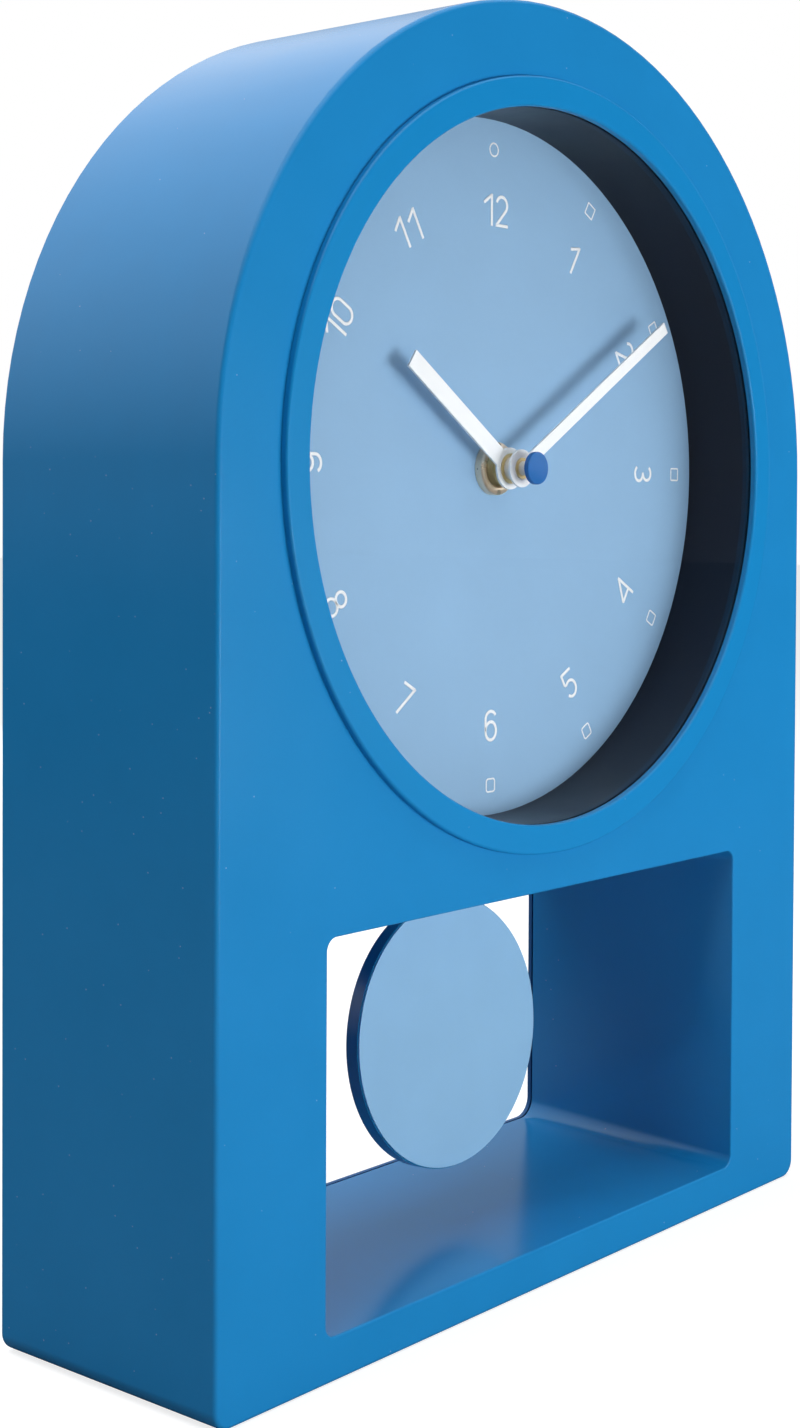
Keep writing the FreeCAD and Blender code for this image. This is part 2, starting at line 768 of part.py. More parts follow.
def rear_bearings():
    """Axle, bearing start and bore of each bearing on the rear case."""
    return [(third_axis, third_level + wheel_thickness + level_gap),
            (shaft, step_level + wheel_thickness + level_gap),
            (step_axis, step_level + wheel_thickness + level_gap),
            (rotor_axis, rotor_level + rotor_length + level_gap)]


def movement_rear_case():
    body = movement_block(0, movement_split, movement_back)
    body = body.cut(movement_block(-movement_wall, movement_split - overrun, movement_inner_back))
    parts = [cylinder(bearing_boss_radius, plate_back, movement_back, place) for place in post_places()]
    parts += partitions(movement_split, movement_back)
    for axis, start in rear_bearings():
        parts.append(cylinder(bearing_boss_radius, start, movement_back, axis))
    for side in (-1, 1):
        seat = (side * (stator_window_half + stator_leg_width / 2), rotor_axis[1])
        parts.append(cylinder(bearing_boss_radius, stator_front + stator_thickness, movement_back, seat))
    pin_boss_start = hanger_back + hanger_side_play
    parts.append(cylinder(hanger_pin_radius + hanger_boss_wall, pin_boss_start, movement_back, pendulum_axis))
    for part in parts:
        body = body.fuse(part)
    for axis, start in rear_bearings():
        body = body.cut(cylinder(pivot_radius + pivot_fit, start - overrun, start + pivot_length + pivot_fit, axis))
    body = body.cut(cylinder(hanger_pin_radius, pin_boss_start - overrun, movement_inner_back, pendulum_axis))
    body = body.cut(cylinder(setting_arbor_radius + running_fit, movement_inner_back - overrun,
                             movement_back + overrun, setting_axis))
    low, high = bay_limits()
    body = body.cut(box(-inner_end, inner_end, movement_inner_back - overrun, movement_back + overrun, low, high))
    tail = peg_drop - pivot_drop
    half = tail * math.sin(math.radians(swing_deg)) + rod_eye_radius + tail_slot_spare
    floor = dial_z - movement_bottom
    body = body.cut(box(-half, half, hanger_front - hanger_side_play, movement_inner_back,
                        floor - overrun, floor + movement_wall + overrun))
    return body


def train_plate():
    half = post_x + plate_margin
    plate = box(-half, half, plate_front, plate_back, dial_z - plate_low, dial_z + post_high + plate_margin)
    passages = [(shaft, seconds_arbor_radius + pivot_fit), (third_axis, thin_arbor_radius + level_gap),
                (setting_axis, setting_arbor_radius + level_gap), (step_axis, pivot_radius + pivot_fit),
                (rotor_axis, pivot_radius + pivot_fit)]
    for axis, radius in passages:
        plate = plate.cut(cylinder(radius, plate_front - overrun, plate_back + overrun, axis))
    return plate


# Motion work, turned by the setting knob
def hour_wheel():
    wheel = gear(hour_teeth, hour_module, hour_phase, hour_level, hour_level + wheel_thickness, shaft)
    tube = cylinder(hour_tube_radius, hour_tube_end_depth, hour_level + wheel_thickness, shaft)
    bore = cylinder(minute_arbor_radius + running_fit, hour_tube_end_depth - overrun,
                    hour_level + wheel_thickness + overrun, shaft)
    return wheel.fuse(tube).cut(bore)


def minute_arbor():
    pinion = gear(minute_pinion_teeth, motion_wheel_module, minute_phase, motion_level - pinion_overhang,
                  motion_level + wheel_thickness + pinion_overhang, shaft)
    tube = cylinder(minute_arbor_radius, minute_arbor_end_depth, center_level + wheel_thickness + level_gap / 2,
                    shaft)
    bore = cylinder(seconds_arbor_radius + running_fit, minute_arbor_end_depth - overrun,
                    center_level + wheel_thickness + level_gap, shaft)
    return pinion.fuse(tube).cut(bore)


def motion_wheel():
    wheel = gear(motion_teeth, motion_wheel_module, motion_phase, motion_level, motion_level + wheel_thickness,
                 motion_axis)
    pinion = gear(motion_pinion_teeth, hour_module, 0.0, hour_level - pinion_overhang, motion_level, motion_axis)
    bore = cylinder(motion_stud_radius + pivot_fit, hour_level - overrun,
                    motion_level + wheel_thickness + overrun, motion_axis)
    return wheel.fuse(pinion).cut(bore)


def setting_arbor():
    pinion = gear(setting_teeth, motion_wheel_module, setting_phase, motion_level - pinion_overhang,
                  motion_level + wheel_thickness + pinion_overhang, setting_axis)
    shoulder = motion_level - level_gap + pinion_overhang
    rod = arbor(setting_arbor_radius, shoulder, movement_back + knob_gap + knob_thickness / 2, setting_axis,
                back_pivot=False)
    return pinion.fuse(rod)


def setting_knob():
    front = movement_back + knob_gap
    points = []
    step = math.pi / knob_notches
    for i in range(knob_notches):
        for turn, radius in ((2 * i * step, knob_radius), ((2 * i + 1) * step, knob_radius - knob_notch_depth)):
            points.append((setting_axis[0] + radius * math.cos(turn), setting_axis[1] + radius * math.sin(turn)))
    knob = prism(points, front, front + knob_thickness)
    return knob.cut(cylinder(setting_arbor_radius, front - overrun, front + knob_thickness / 2, setting_axis))


# Going train, turned by the rotor
def center_wheel():
    wheel = gear(center_teeth, center_module, center_phase, center_level, center_level + wheel_thickness, shaft)
    return wheel.cut(cylinder(minute_arbor_radius + running_fit, center_level - overrun,
                              center_level + wheel_thickness + overrun, shaft))


def third_wheel():
    pinion = gear(third_pinion_teeth, center_module, third_pinion_phase, center_level - pinion_overhang,
                  center_level + wheel_thickness + pinion_overhang, third_axis)
    wheel = gear(third_teeth, third_module, 0.0, third_level, third_level + wheel_thickness, third_axis)
    rod = arbor(thin_arbor_radius, center_level - level_gap + pinion_overhang,
                third_level + wheel_thickness + level_gap - pinion_overhang, third_axis)
    return pinion.fuse(wheel).fuse(rod)


def seconds_wheel():
    pinion = gear(seconds_pinion_teeth, third_module, seconds_pinion_phase, third_level - pinion_overhang,
                  third_level + wheel_thickness + pinion_overhang, shaft)
    wheel = gear(seconds_teeth, step_module, 0.0, seconds_level, seconds_level + wheel_thickness, shaft)
    front = cylinder(seconds_arbor_radius, seconds_arbor_end_depth, seconds_level, shaft)
    rear = arbor(thin_arbor_radius, seconds_level, step_level + wheel_thickness + level_gap - pinion_overhang,
                 shaft, front_pivot=False)
    return pinion.fuse(wheel).fuse(front).fuse(rear)


def step_wheel():
    pinion = gear(step_pinion_teeth, step_module, step_pinion_phase, seconds_level - pinion_overhang,
                  step_level, step_axis)
    wheel = gear(step_teeth, step_module, 0.0, step_level, step_level + wheel_thickness, step_axis)
    rod = arbor(thin_arbor_radius, plate_back + pinion_overhang,
                step_level + wheel_thickness + level_gap - pinion_overhang, step_axis)
    return pinion.fuse(wheel).fuse(rod)


def rotor():
    pinion = gear(rotor_pinion_teeth, step_module, rotor_pinion_phase, step_level - pinion_overhang,
                  step_level + wheel_thickness + pinion_overhang, rotor_axis)
    magnet = cylinder(rotor_radius, rotor_level, rotor_level + rotor_length, rotor_axis)
    rod = arbor(thin_arbor_radius, plate_back + pinion_overhang,
                rotor_level + rotor_length + level_gap - pinion_overhang, rotor_axis)
    return pinion.fuse(magnet).fuse(rod)


# Stepping motor and electronics
def stator():
    """Plate with the rotor's hole below and two legs up to the coil's core."""
    back = stator_front + stator_thickness
    band = rotor_radius + rotor_air_gap + stator_rim
    half = stator_window_half + stator_leg_width
    plate = box(-half, half, stator_front, back, rotor_axis[1] - band, core_low + core_height)
    window = box(-stator_window_half, stator_window_half, stator_front - overrun, back + overrun,
                 rotor_axis[1] + band, core_low + core_height + overrun)
    hole = cylinder(rotor_radius + rotor_air_gap, stator_front - overrun, back + overrun, rotor_axis)
    return plate.cut(window).cut(hole)


def core_block(grow):
    half = stator_window_half + stator_leg_width
    return box(-half, half, stator_front - core_thickness - grow, stator_front + grow, core_low - grow,
               core_low + core_height + grow)


def coil_core():
    return core_block(0)


def clock_coil():
    middle = V(-coil_half_length, stator_front - core_thickness / 2, core_low + core_height / 2)
    winding = Part.makeCylinder(coil_radius, 2 * coil_half_length, middle, SIDEWAYS)
    return winding.cut(core_block(coil_fit))


def circuit_board():
    end = inner_end - contact_thickness - board_end_gap
    low = dial_z - plate_low
    return box(-end, end, plate_back, plate_back + board_thickness, low, low + board_height)


def control_chip():
    front = plate_back + board_thickness
    middle = dial_z - plate_low + board_height / 2
    return box(chip_x, chip_x + chip_size, front, front + chip_height, middle - chip_size / 2,
               middle + chip_size / 2)


def quartz_crystal():
    front = plate_back + board_thickness
    middle = V(crystal_x, front + crystal_radius, dial_z - plate_low + board_height / 2)
    return Part.makeCylinder(crystal_radius, crystal_length, middle, SIDEWAYS)


# Battery and its contacts
def battery_right():
    """The tip of the battery, which touches the contact on the right wall."""
    return inner_end - contact_thickness


def battery_depth():
    return movement_inner_front + battery_fit + battery_radius


def battery():
    left = battery_right() - battery_nub_length - battery_length
    middle = V(left, battery_depth(), dial_z - battery_drop)
    can = Part.makeCylinder(battery_radius, battery_length, middle, SIDEWAYS)
    nub_base = middle + V(battery_length, 0, 0)
    nub = Part.makeCylinder(battery_nub_radius, battery_nub_length, nub_base, SIDEWAYS)
    return can.fuse(nub)


def contact(x0):
    """Plate at one end of the battery with a strip up to the end of the circuit board."""
    x1 = x0 + contact_thickness
    middle = dial_z - battery_drop
    plate = box(x0, x1, battery_depth() - contact_width / 2, battery_depth() + contact_width / 2,
                middle - contact_height / 2, middle + contact_height / 2)
    front = plate_back + (board_thickness - contact_strip_width) / 2
    strip = box(x0, x1, front, front + contact_strip_width, middle, dial_z - plate_low + board_height)
    return plate.fuse(strip)


def positive_contact():
    return contact(battery_right())


def negative_contact():
    """Contact with the raised button that presses on the battery's flat end."""
    base = V(contact_thickness - inner_end, battery_depth(), dial_z - battery_drop)
    button = Part.makeCylinder(contact_button_radius, contact_button_length, base, SIDEWAYS)
    return contact(-inner_end).fuse(button)


# Hands and cap
def hand(boss_radius, width, reach, hole, degrees, y0):
    """Flat stick hand with a square-cut tip, turned clockwise from twelve."""
    blade = box(-width / 2, width / 2, y0, y0 + hand_thickness, dial_z, dial_z + reach)
    blade.rotate(V(0, 0, dial_z), FORWARD, degrees)
    boss = cylinder(boss_radius, y0, y0 + hand_thickness, shaft)
    return blade.fuse(boss).cut(cylinder(hole, y0 - overrun, y0 + hand_thickness + overrun, shaft))


def hand_collar(bore, y0, length):
    """Brass collar crimped through a hand; y0 is the hand's front face."""
    sleeve = ring(bore + collar_wall, bore, y0, y0 + hand_thickness + length, shaft)
    crimp = ring(bore + collar_wall + collar_crimp, bore, y0 - collar_crimp_thickness, y0, shaft)
    return sleeve.fuse(crimp).removeSplitter()


def hour_hand():
    return hand(hour_tube_radius + hour_boss_width, hour_hand_width, hour_hand_reach,
                hour_tube_radius + collar_wall, hour_hand_deg, hour_hand_depth)


def minute_hand():
    return hand(minute_arbor_radius + minute_boss_width, minute_hand_width, minute_hand_reach,
                minute_arbor_radius + collar_wall, minute_hand_deg, minute_hand_depth)


def cap_stem():
    front = cap_depth + cap_thickness - stem_seat_depth
    return ring(seconds_arbor_radius + stem_wall, seconds_arbor_radius, front, front + stem_length, shaft)


def center_cap():
    """Round cap with a shallow dome, pressed on the stem."""
    back = cap_depth + cap_thickness
    body = cylinder(cap_radius, cap_depth + cap_dome, back, shaft)
    sphere_radius = (cap_radius ** 2 + cap_dome ** 2) / (2 * cap_dome)
    ball = Part.makeSphere(sphere_radius, V(0, cap_depth + sphere_radius, dial_z))
    dome = ball.common(cylinder(cap_radius, cap_depth - overrun, cap_depth + cap_dome, shaft))
    body = body.fuse(dome).removeSplitter()
    body = body.makeFillet(cap_edge_round, edges_at_depth(body, cap_depth + cap_dome))
    return body.cut(cylinder(seconds_arbor_radius + stem_wall, back - stem_seat_depth, back + overrun, shaft))


# Pendulum and its drive
def drive_coil():
    return ring(drive_coil_radius, drive_coil_bore, drive_coil_back - drive_coil_length, drive_coil_back,
                (0.0, magnet_z))


def hanger_pin_front():
    """Depth of the pin's end in the front case's boss."""
    return hanger_front - hanger_side_play - hanger_pin_seat


def hanger_pin():
    return cylinder(hanger_pin_radius, hanger_pin_front(), movement_inner_back, pendulum_axis)


def pendulum_hanger():
    """Swinging arm inside the movement, with the seat for its magnet and the peg for the rod."""
    body = cylinder(hanger_eye_radius, hanger_front, hanger_back, pendulum_axis)
    half_arm = hanger_arm_width / 2
    half_tail = hanger_tail_width / 2
    head_front = rod_back + rod_seat_gap
    parts = [box(-half_arm, half_arm, hanger_front, hanger_back, magnet_z, pivot_z),
             cylinder(magnet_radius + hanger_seat_width, hanger_front, hanger_back, (0.0, magnet_z)),
             box(-half_tail, half_tail, hanger_front, hanger_back, peg_z, magnet_z),
             cylinder(half_tail, hanger_front, hanger_back, (0.0, peg_z)),
             cylinder(peg_radius, hanger_front, head_front, (0.0, peg_z)),
             cylinder(peg_radius + peg_head_width, head_front, head_front + peg_head_thickness, (0.0, peg_z))]
    for part in parts:
        body = body.fuse(part)
    hole = cylinder(hanger_pin_radius + running_fit, hanger_front - overrun, hanger_back + overrun, pendulum_axis)
    return body.cut(hole)


def hanger_magnet():
    return cylinder(magnet_radius, hanger_front - magnet_thickness, hanger_front, (0.0, magnet_z))


def rod_strip(grow):
    low = bob_z - rod_end_share * bob_radius - grow
    return box(-rod_width / 2 - grow, rod_width / 2 + grow, rod_front - grow, rod_back + grow, low, peg_z)


def pendulum_rod():
    body = rod_strip(0).fuse(cylinder(rod_eye_radius, rod_front, rod_back, (0.0, peg_z)))
    return body.cut(cylinder(peg_radius + rod_fit, rod_front - overrun, rod_back + overrun, (0.0, peg_z)))


def leaned(shape):
    """Tilts a bob piece so that its top leans back."""
    shape.rotate(V(0, bob_face_depth, bob_z), SIDEWAYS, -bob_lean_deg)
    return shape


def pendulum_bob():
    front = bob_face_depth + bob_face_thickness
    back = bob_face_depth + bob_thickness
    disc = cylinder(bob_radius, front, back, (0.0, bob_z))
    disc = disc.makeFillet(bob_edge_round, edges_at_depth(disc, back))
    return leaned(disc).cut(rod_strip(rod_fit))


def bob_face():
    back = bob_face_depth + bob_face_thickness
    disc = cylinder(bob_radius - bob_face_inset, bob_face_depth, back, (0.0, bob_z))
    return leaned(disc)


def rod_clip():
    """Saddle on the bob's back that grips the rod."""
    back = bob_face_depth + bob_thickness
    half = rod_width / 2 + clip_side_width
    saddle = box(-half, half, back, back + clip_depth, bob_z - clip_low_share * bob_radius,
                 bob_z + clip_high_share * bob_radius)
    return leaned(saddle).cut(rod_strip(rod_fit / 2))


def save(name, shape):
    """Moves a piece so that the origin is under the middle of the clock, and writes it."""
    placed = shape.copy()
    placed.translate(V(0, (bezel_stand - case_depth) / 2, 0))
    placed.exportStep("parts/" + name + ".step")
    print(name, "solids", len(placed.Solids), "valid", placed.isValid(), "volume", round(placed.Volume, 3))


def main():
    os.makedirs("parts", exist_ok=True)
    pieces = [case_shell, back_panel, back_screws, bezel_ring, lens, lens_gasket, dial_shroud, shroud_screws,
              dial_plate, dial_screws, dial_cushion, ring_nut, bushing, movement_front_case,
              movement_rear_case, train_plate, hour_wheel, minute_arbor, motion_wheel, setting_arbor,
              setting_knob, center_wheel, third_wheel, seconds_wheel, step_wheel, rotor, stator, coil_core,
              clock_coil, circuit_board, control_chip, quartz_crystal, battery, positive_contact,
              negative_contact, hour_hand, minute_hand, cap_stem, center_cap, drive_coil, hanger_pin,
              pendulum_hanger, hanger_magnet, pendulum_rod, pendulum_bob, bob_face, rod_clip]
    for piece in pieces:
        save(piece.__name__, piece())
    save("hour_collar", hand_collar(hour_tube_radius, hour_hand_depth, hour_collar_length))
    save("minute_collar", hand_collar(minute_arbor_radius, minute_hand_depth, minute_collar_length))


main()
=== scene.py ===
# %% [markdown]
# # A desk pendulum clock
# The clock is an arch-topped case with a deep round dial over a window, where a disc swings.
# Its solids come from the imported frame, in metres, with X to the right, Y to the back and Z up.
# Here they get their finishes, and the small things that a solid model leaves out are added.

# %% Load the frame
import json
import math

import bmesh
import bpy
from mathutils import Matrix, Vector

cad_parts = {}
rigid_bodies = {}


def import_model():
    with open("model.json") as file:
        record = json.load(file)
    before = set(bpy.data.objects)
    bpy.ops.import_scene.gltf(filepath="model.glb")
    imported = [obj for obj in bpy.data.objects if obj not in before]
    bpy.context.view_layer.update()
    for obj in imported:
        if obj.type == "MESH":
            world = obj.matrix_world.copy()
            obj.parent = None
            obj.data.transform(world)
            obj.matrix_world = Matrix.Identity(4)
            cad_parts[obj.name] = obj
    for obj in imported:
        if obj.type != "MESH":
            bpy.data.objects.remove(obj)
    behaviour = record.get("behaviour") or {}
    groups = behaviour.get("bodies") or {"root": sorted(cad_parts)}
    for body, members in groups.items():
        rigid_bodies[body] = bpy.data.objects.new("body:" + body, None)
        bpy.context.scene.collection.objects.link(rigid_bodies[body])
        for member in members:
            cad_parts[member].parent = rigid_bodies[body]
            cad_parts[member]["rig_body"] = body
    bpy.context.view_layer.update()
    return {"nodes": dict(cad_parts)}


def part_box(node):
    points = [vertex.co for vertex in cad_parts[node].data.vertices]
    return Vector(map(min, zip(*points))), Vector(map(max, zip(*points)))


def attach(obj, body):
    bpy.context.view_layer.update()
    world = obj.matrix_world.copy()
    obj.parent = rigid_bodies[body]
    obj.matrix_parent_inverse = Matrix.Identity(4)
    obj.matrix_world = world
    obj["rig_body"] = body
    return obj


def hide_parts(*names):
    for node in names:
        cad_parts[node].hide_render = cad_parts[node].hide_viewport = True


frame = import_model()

nodes = frame["nodes"]
print("pieces in the frame:", len(nodes))

# %% [markdown]
# ## Units and places
# Every length below is written in millimetres, as a drawing would give it, and goes through one factor.
# The middle of the dial and the depth of its face are read from the frame, so they follow the solids.

# %% Millimetres and the dial's place
MM = 0.001
dial_low, dial_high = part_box("dial_plate")
dial_middle = Vector((0.0, dial_low.y, (dial_low.z + dial_high.z) / 2))
print("dial face at", [round(v / MM, 2) for v in dial_middle], "mm")

# %% [markdown]
# ## Objects
# In Blender a mesh, a lamp or a camera is only data, and an object shows it in the scene. One helper makes
# the object and links it, for everything that follows.

# %% Object helper
def into_scene(name, data):
    """Makes an object that shows the data and links it to the scene."""
    item = bpy.data.objects.new(name, data)
    bpy.context.scene.collection.objects.link(item)
    return item


print("object helper ready")

# %% [markdown]
# ## Colours
# A colour is read off as the eye sees it, in 0 to 255 steps, but a shader works in linear light.
# The curve between the two is the same for every screen, so one small function turns one into the other.

# %% Screen colour to linear colour
def linear(red, green, blue):
    """A screen colour in steps of 0 to 255, as a linear shader colour."""
    def channel(step):
        share = step / 255
        return share / 12.92 if share <= 0.04045 else ((share + 0.055) / 1.055) ** 2.4
    return (channel(red), channel(green), channel(blue), 1.0)


print("mid grey:", round(linear(128, 128, 128)[0], 3))

# %% [markdown]
# ## Camera
# The picture was taken from the clock's left, near the height of its dial and only half a metre away.
# So the sides lean together strongly. The lens and the place come from lining up the case's edges, the
# rings and the window with their images. The clock isn't in the middle of the lens's view, so the
# camera is shifted a little instead of turned. The focal length and the lens's centre are in pixels of the
# picture, and the rest is in millimetres and degrees.

# %% Camera
camera_place = Vector((-364.5, -315.38, 169.12)) * MM
camera_turn = math.radians(52.065)
camera_dip = math.radians(1.286)
camera_roll = math.radians(0.378)
picture_width = 800
picture_height = 1428
focal_pixels = 2118.39
centre_pixels = (560.0, 562.21)
sensor_width = 36.0

forward = Vector((math.sin(camera_turn) * math.cos(camera_dip),
                  math.cos(camera_turn) * math.cos(camera_dip), -math.sin(camera_dip)))
level = Vector((math.cos(camera_turn), -math.sin(camera_turn), 0.0))
upright = level.cross(forward)
right = level * math.cos(camera_roll) + upright * math.sin(camera_roll)
up = upright * math.cos(camera_roll) - level * math.sin(camera_roll)

camera_data = bpy.data.cameras.new("camera")
camera_data.sensor_fit = "HORIZONTAL"
camera_data.sensor_width = sensor_width
camera_data.lens = focal_pixels / picture_width * sensor_width
camera_data.shift_x = (picture_width / 2 - centre_pixels[0]) / picture_width
camera_data.shift_y = (centre_pixels[1] - picture_height / 2) / picture_width
camera_data.clip_start = 10 * MM
camera = into_scene("camera", camera_data)
turn = Matrix((right, up, -forward)).transposed()
camera.matrix_world = Matrix.Translation(camera_place) @ turn.to_4x4()
bpy.context.scene.camera = camera
bpy.context.scene.view_settings.view_transform = "Standard"
print("lens:", round(camera_data.lens, 1), "mm, shift:", round(camera_data.shift_x, 3),
      round(camera_data.shift_y, 3))

# %% [markdown]
# ## Building shaders
# A material is a small graph of nodes. One helper adds a node, sets its options and either plugs a
# socket in or writes a number, so that each material below reads as a list of what it is made of. What
# several materials share goes into a node group, which each of them places with its own values.

# %% Node helpers
def fill_inputs(tree, node, inputs):
    """Links a socket, or writes a value, into each named input of a node."""
    for name, value in inputs.items():
        if isinstance(value, bpy.types.NodeSocket):
            tree.links.new(value, node.inputs[name])
        else:
            node.inputs[name].default_value = value


def add(tree, kind, inputs=None, **options):
    """Adds a shader node with its options, and fills its inputs."""
    node = tree.nodes.new("ShaderNode" + kind)
    for name, value in options.items():
        setattr(node, name, value)
    fill_inputs(tree, node, inputs or {})
    return node


def combined(tree, operation, first, second):
    """The output of one Math node."""
    return add(tree, "Math", {0: first, 1: second}, operation=operation).outputs[0]


def new_material(name):
    """A material with its tree, its Principled shader and the object's own coordinates."""
    material = bpy.data.materials.new(name)
    material.use_nodes = True
    tree = material.node_tree
    place = add(tree, "TexCoord").outputs["Object"]
    return material, tree, tree.nodes["Principled BSDF"], place


def new_group(name, inputs, outputs):
    """A shader node group with named sockets; returns its tree and its two end nodes."""
    tree = bpy.data.node_groups.new(name, "ShaderNodeTree")
    for socket, kind in inputs.items():
        tree.interface.new_socket(socket, in_out="INPUT", socket_type="NodeSocket" + kind)
    for socket, kind in outputs.items():
        tree.interface.new_socket(socket, in_out="OUTPUT", socket_type="NodeSocket" + kind)
    return tree, tree.nodes.new("NodeGroupInput"), tree.nodes.new("NodeGroupOutput")


def use_group(tree, group, inputs):
    """Places a group in a material with this material's own values."""
    node = tree.nodes.new("ShaderNodeGroup")
    node.node_tree = group
    fill_inputs(tree, node, inputs)
    return node


print("helpers ready")

# %% [markdown]
# ## Shared effect: moulded skin
# A mould's wall is spark-eroded to a fine, even grain, and the plastic copies it. A broad, faint
# cloudiness comes from how the melt flowed. Two noises at different sizes give both, so a satin face
# breaks up highlights finely and isn't one flat tone. The group puts out a height and a cloud value.

# %% Moulded skin group
skin_group, ends_in, ends_out = new_group(
    "moulded_skin", {"Place": "Vector", "Grain per metre": "Float", "Clouds per metre": "Float"},
    {"Height": "Float", "Cloud": "Float"})
fine_noise = add(skin_group, "TexNoise", {"Vector": ends_in.outputs["Place"],
                                          "Scale": ends_in.outputs["Grain per metre"],
                                          "Detail": 3.0, "Roughness": 0.6})
broad_noise = add(skin_group, "TexNoise", {"Vector": ends_in.outputs["Place"],
                                           "Scale": ends_in.outputs["Clouds per metre"],
                                           "Detail": 4.0, "Roughness": 0.55})
skin_group.links.new(fine_noise.outputs["Fac"], ends_out.inputs["Height"])
skin_group.links.new(broad_noise.outputs["Fac"], ends_out.inputs["Cloud"])
print("group:", skin_group.name)

# %% [markdown]
# ## Shared effect: dust
# A satin blue case shows every speck of dust. Each cell of a Voronoi pattern has one centre, and only the
# small spot round it counts. Each cell also has a random tone, and only the cells with a high one keep
# their spot, so the specks are scattered unevenly and not laid out as dots on a grid.

# %% Dust group
dust_group, ends_in, ends_out = new_group(
    "dust", {"Place": "Vector", "Specks per metre": "Float", "Speck size": "Float", "Bareness": "Float"},
    {"Mask": "Float"})
cells = add(dust_group, "TexVoronoi", {"Vector": ends_in.outputs["Place"],
                                       "Scale": ends_in.outputs["Specks per metre"]})
spot = combined(dust_group, "LESS_THAN", cells.outputs["Distance"], ends_in.outputs["Speck size"])
cell_tone = add(dust_group, "SeparateColor", {"Color": cells.outputs["Color"]})
chosen = combined(dust_group, "GREATER_THAN", cell_tone.outputs["Red"], ends_in.outputs["Bareness"])
speck = combined(dust_group, "MULTIPLY", spot, chosen)
dust_group.links.new(speck, ends_out.inputs["Mask"])
print("group:", dust_group.name)

# %% [markdown]
# ## Shared effect: turned metal
# The nut, the bushing and the collars are turned on a lathe, and the tool leaves fine rings round their
# axis. The distance from the axis and the place along it are added up, and a noise along that sum alone
# gives rings of uneven depth on flat faces and round sides alike. They stretch the highlights the way real
# turned brass does.

# %% Turned metal group
turned_group, ends_in, ends_out = new_group(
    "turned_metal", {"Place": "Vector", "Rings per metre": "Float"}, {"Height": "Float", "Tone": "Float"})
from_axis = add(turned_group, "VectorMath", {0: ends_in.outputs["Place"], 1: (1.0, 0.0, 1.0)},
                operation="MULTIPLY")
off_axis = add(turned_group, "VectorMath", {0: from_axis.outputs[0]}, operation="LENGTH")
depth = add(turned_group, "SeparateXYZ", {0: ends_in.outputs["Place"]})
along = combined(turned_group, "ADD", off_axis.outputs["Value"], depth.outputs["Y"])
rings = add(turned_group, "TexNoise", {"W": along, "Scale": ends_in.outputs["Rings per metre"],
                                       "Detail": 2.0}, noise_dimensions="1D")
tarnish = add(turned_group, "TexNoise", {"Vector": ends_in.outputs["Place"], "Scale": 260.0, "Detail": 3.0})
turned_group.links.new(rings.outputs["Fac"], ends_out.inputs["Height"])
turned_group.links.new(tarnish.outputs["Fac"], ends_out.inputs["Tone"])
print("group:", turned_group.name)

# %% [markdown]
# ## Finish: moulded plastic and lacquer
# Most of the clock is satin plastic or lacquer, which differ in colour, in how sharp their gloss is and in
# the size of their grain. One function builds the material, and each finish calls it with its own values.
# The cloud noise moves the tone and the roughness a little, and the grain goes to a bump.

# %% Satin material builder
clouds_per_metre = 55.0
specks_per_metre = 420.0
speck_size = 0.06
speck_cover = 0.35
dust_tone = (215, 220, 225)
skin_bump = 0.35


def cloud_range(tree, skin, middle, spread):
    """The skin's clouds as a value that wanders round a middle by a spread."""
    return add(tree, "MapRange", {"Value": skin.outputs["Cloud"], "From Min": 0.3, "From Max": 0.7,
                                  "To Min": middle - spread, "To Max": middle + spread}).outputs[0]


def satin(name, colour, roughness, grain_depth, tone=0.05, grain_per_metre=2600.0, dust=0.0,
          rough_spread=0.05):
    """Satin or glossy plastic or lacquer with fine grain, soft clouds of tone and a little dust."""
    material, tree, shader, place = new_material(name)
    skin = use_group(tree, skin_group, {"Place": place, "Grain per metre": grain_per_metre,
                                        "Clouds per metre": clouds_per_metre})
    shade = add(tree, "Mix", {"Factor": 1.0, "A": linear(*colour), "B": cloud_range(tree, skin, 1.0, tone)},
                data_type="RGBA", blend_type="MULTIPLY")
    surface = shade.outputs["Result"]
    if dust:
        specks = use_group(tree, dust_group, {"Place": place, "Specks per metre": specks_per_metre,
                                              "Speck size": speck_size, "Bareness": 1.0 - dust})
        faint = combined(tree, "MULTIPLY", specks.outputs["Mask"], speck_cover)
        dusty = add(tree, "Mix", {"Factor": faint, "A": surface, "B": linear(*dust_tone)}, data_type="RGBA")
        surface = dusty.outputs["Result"]
    tree.links.new(surface, shader.inputs["Base Color"])
    tree.links.new(cloud_range(tree, skin, roughness, rough_spread), shader.inputs["Roughness"])
    bump = add(tree, "Bump", {"Height": skin.outputs["Height"], "Strength": skin_bump,
                              "Distance": grain_depth * MM})
    tree.links.new(bump.outputs["Normal"], shader.inputs["Normal"])
    return material


print("satin builder ready")

# %% [markdown]
# The case is one strong blue all round, inside the window too. The bezel has the same colour with a
# slightly softer and very even gloss, because uneven gloss shows as patches on a narrow ring. The tube
# round the dial is a near-black navy that makes the dial look deep. The cap, the tube and the dial mirror
# less than plain plastic does, so their specular level is lower. Each line gives the colour as seen, the
# roughness and the depth of the grain in millimetres.

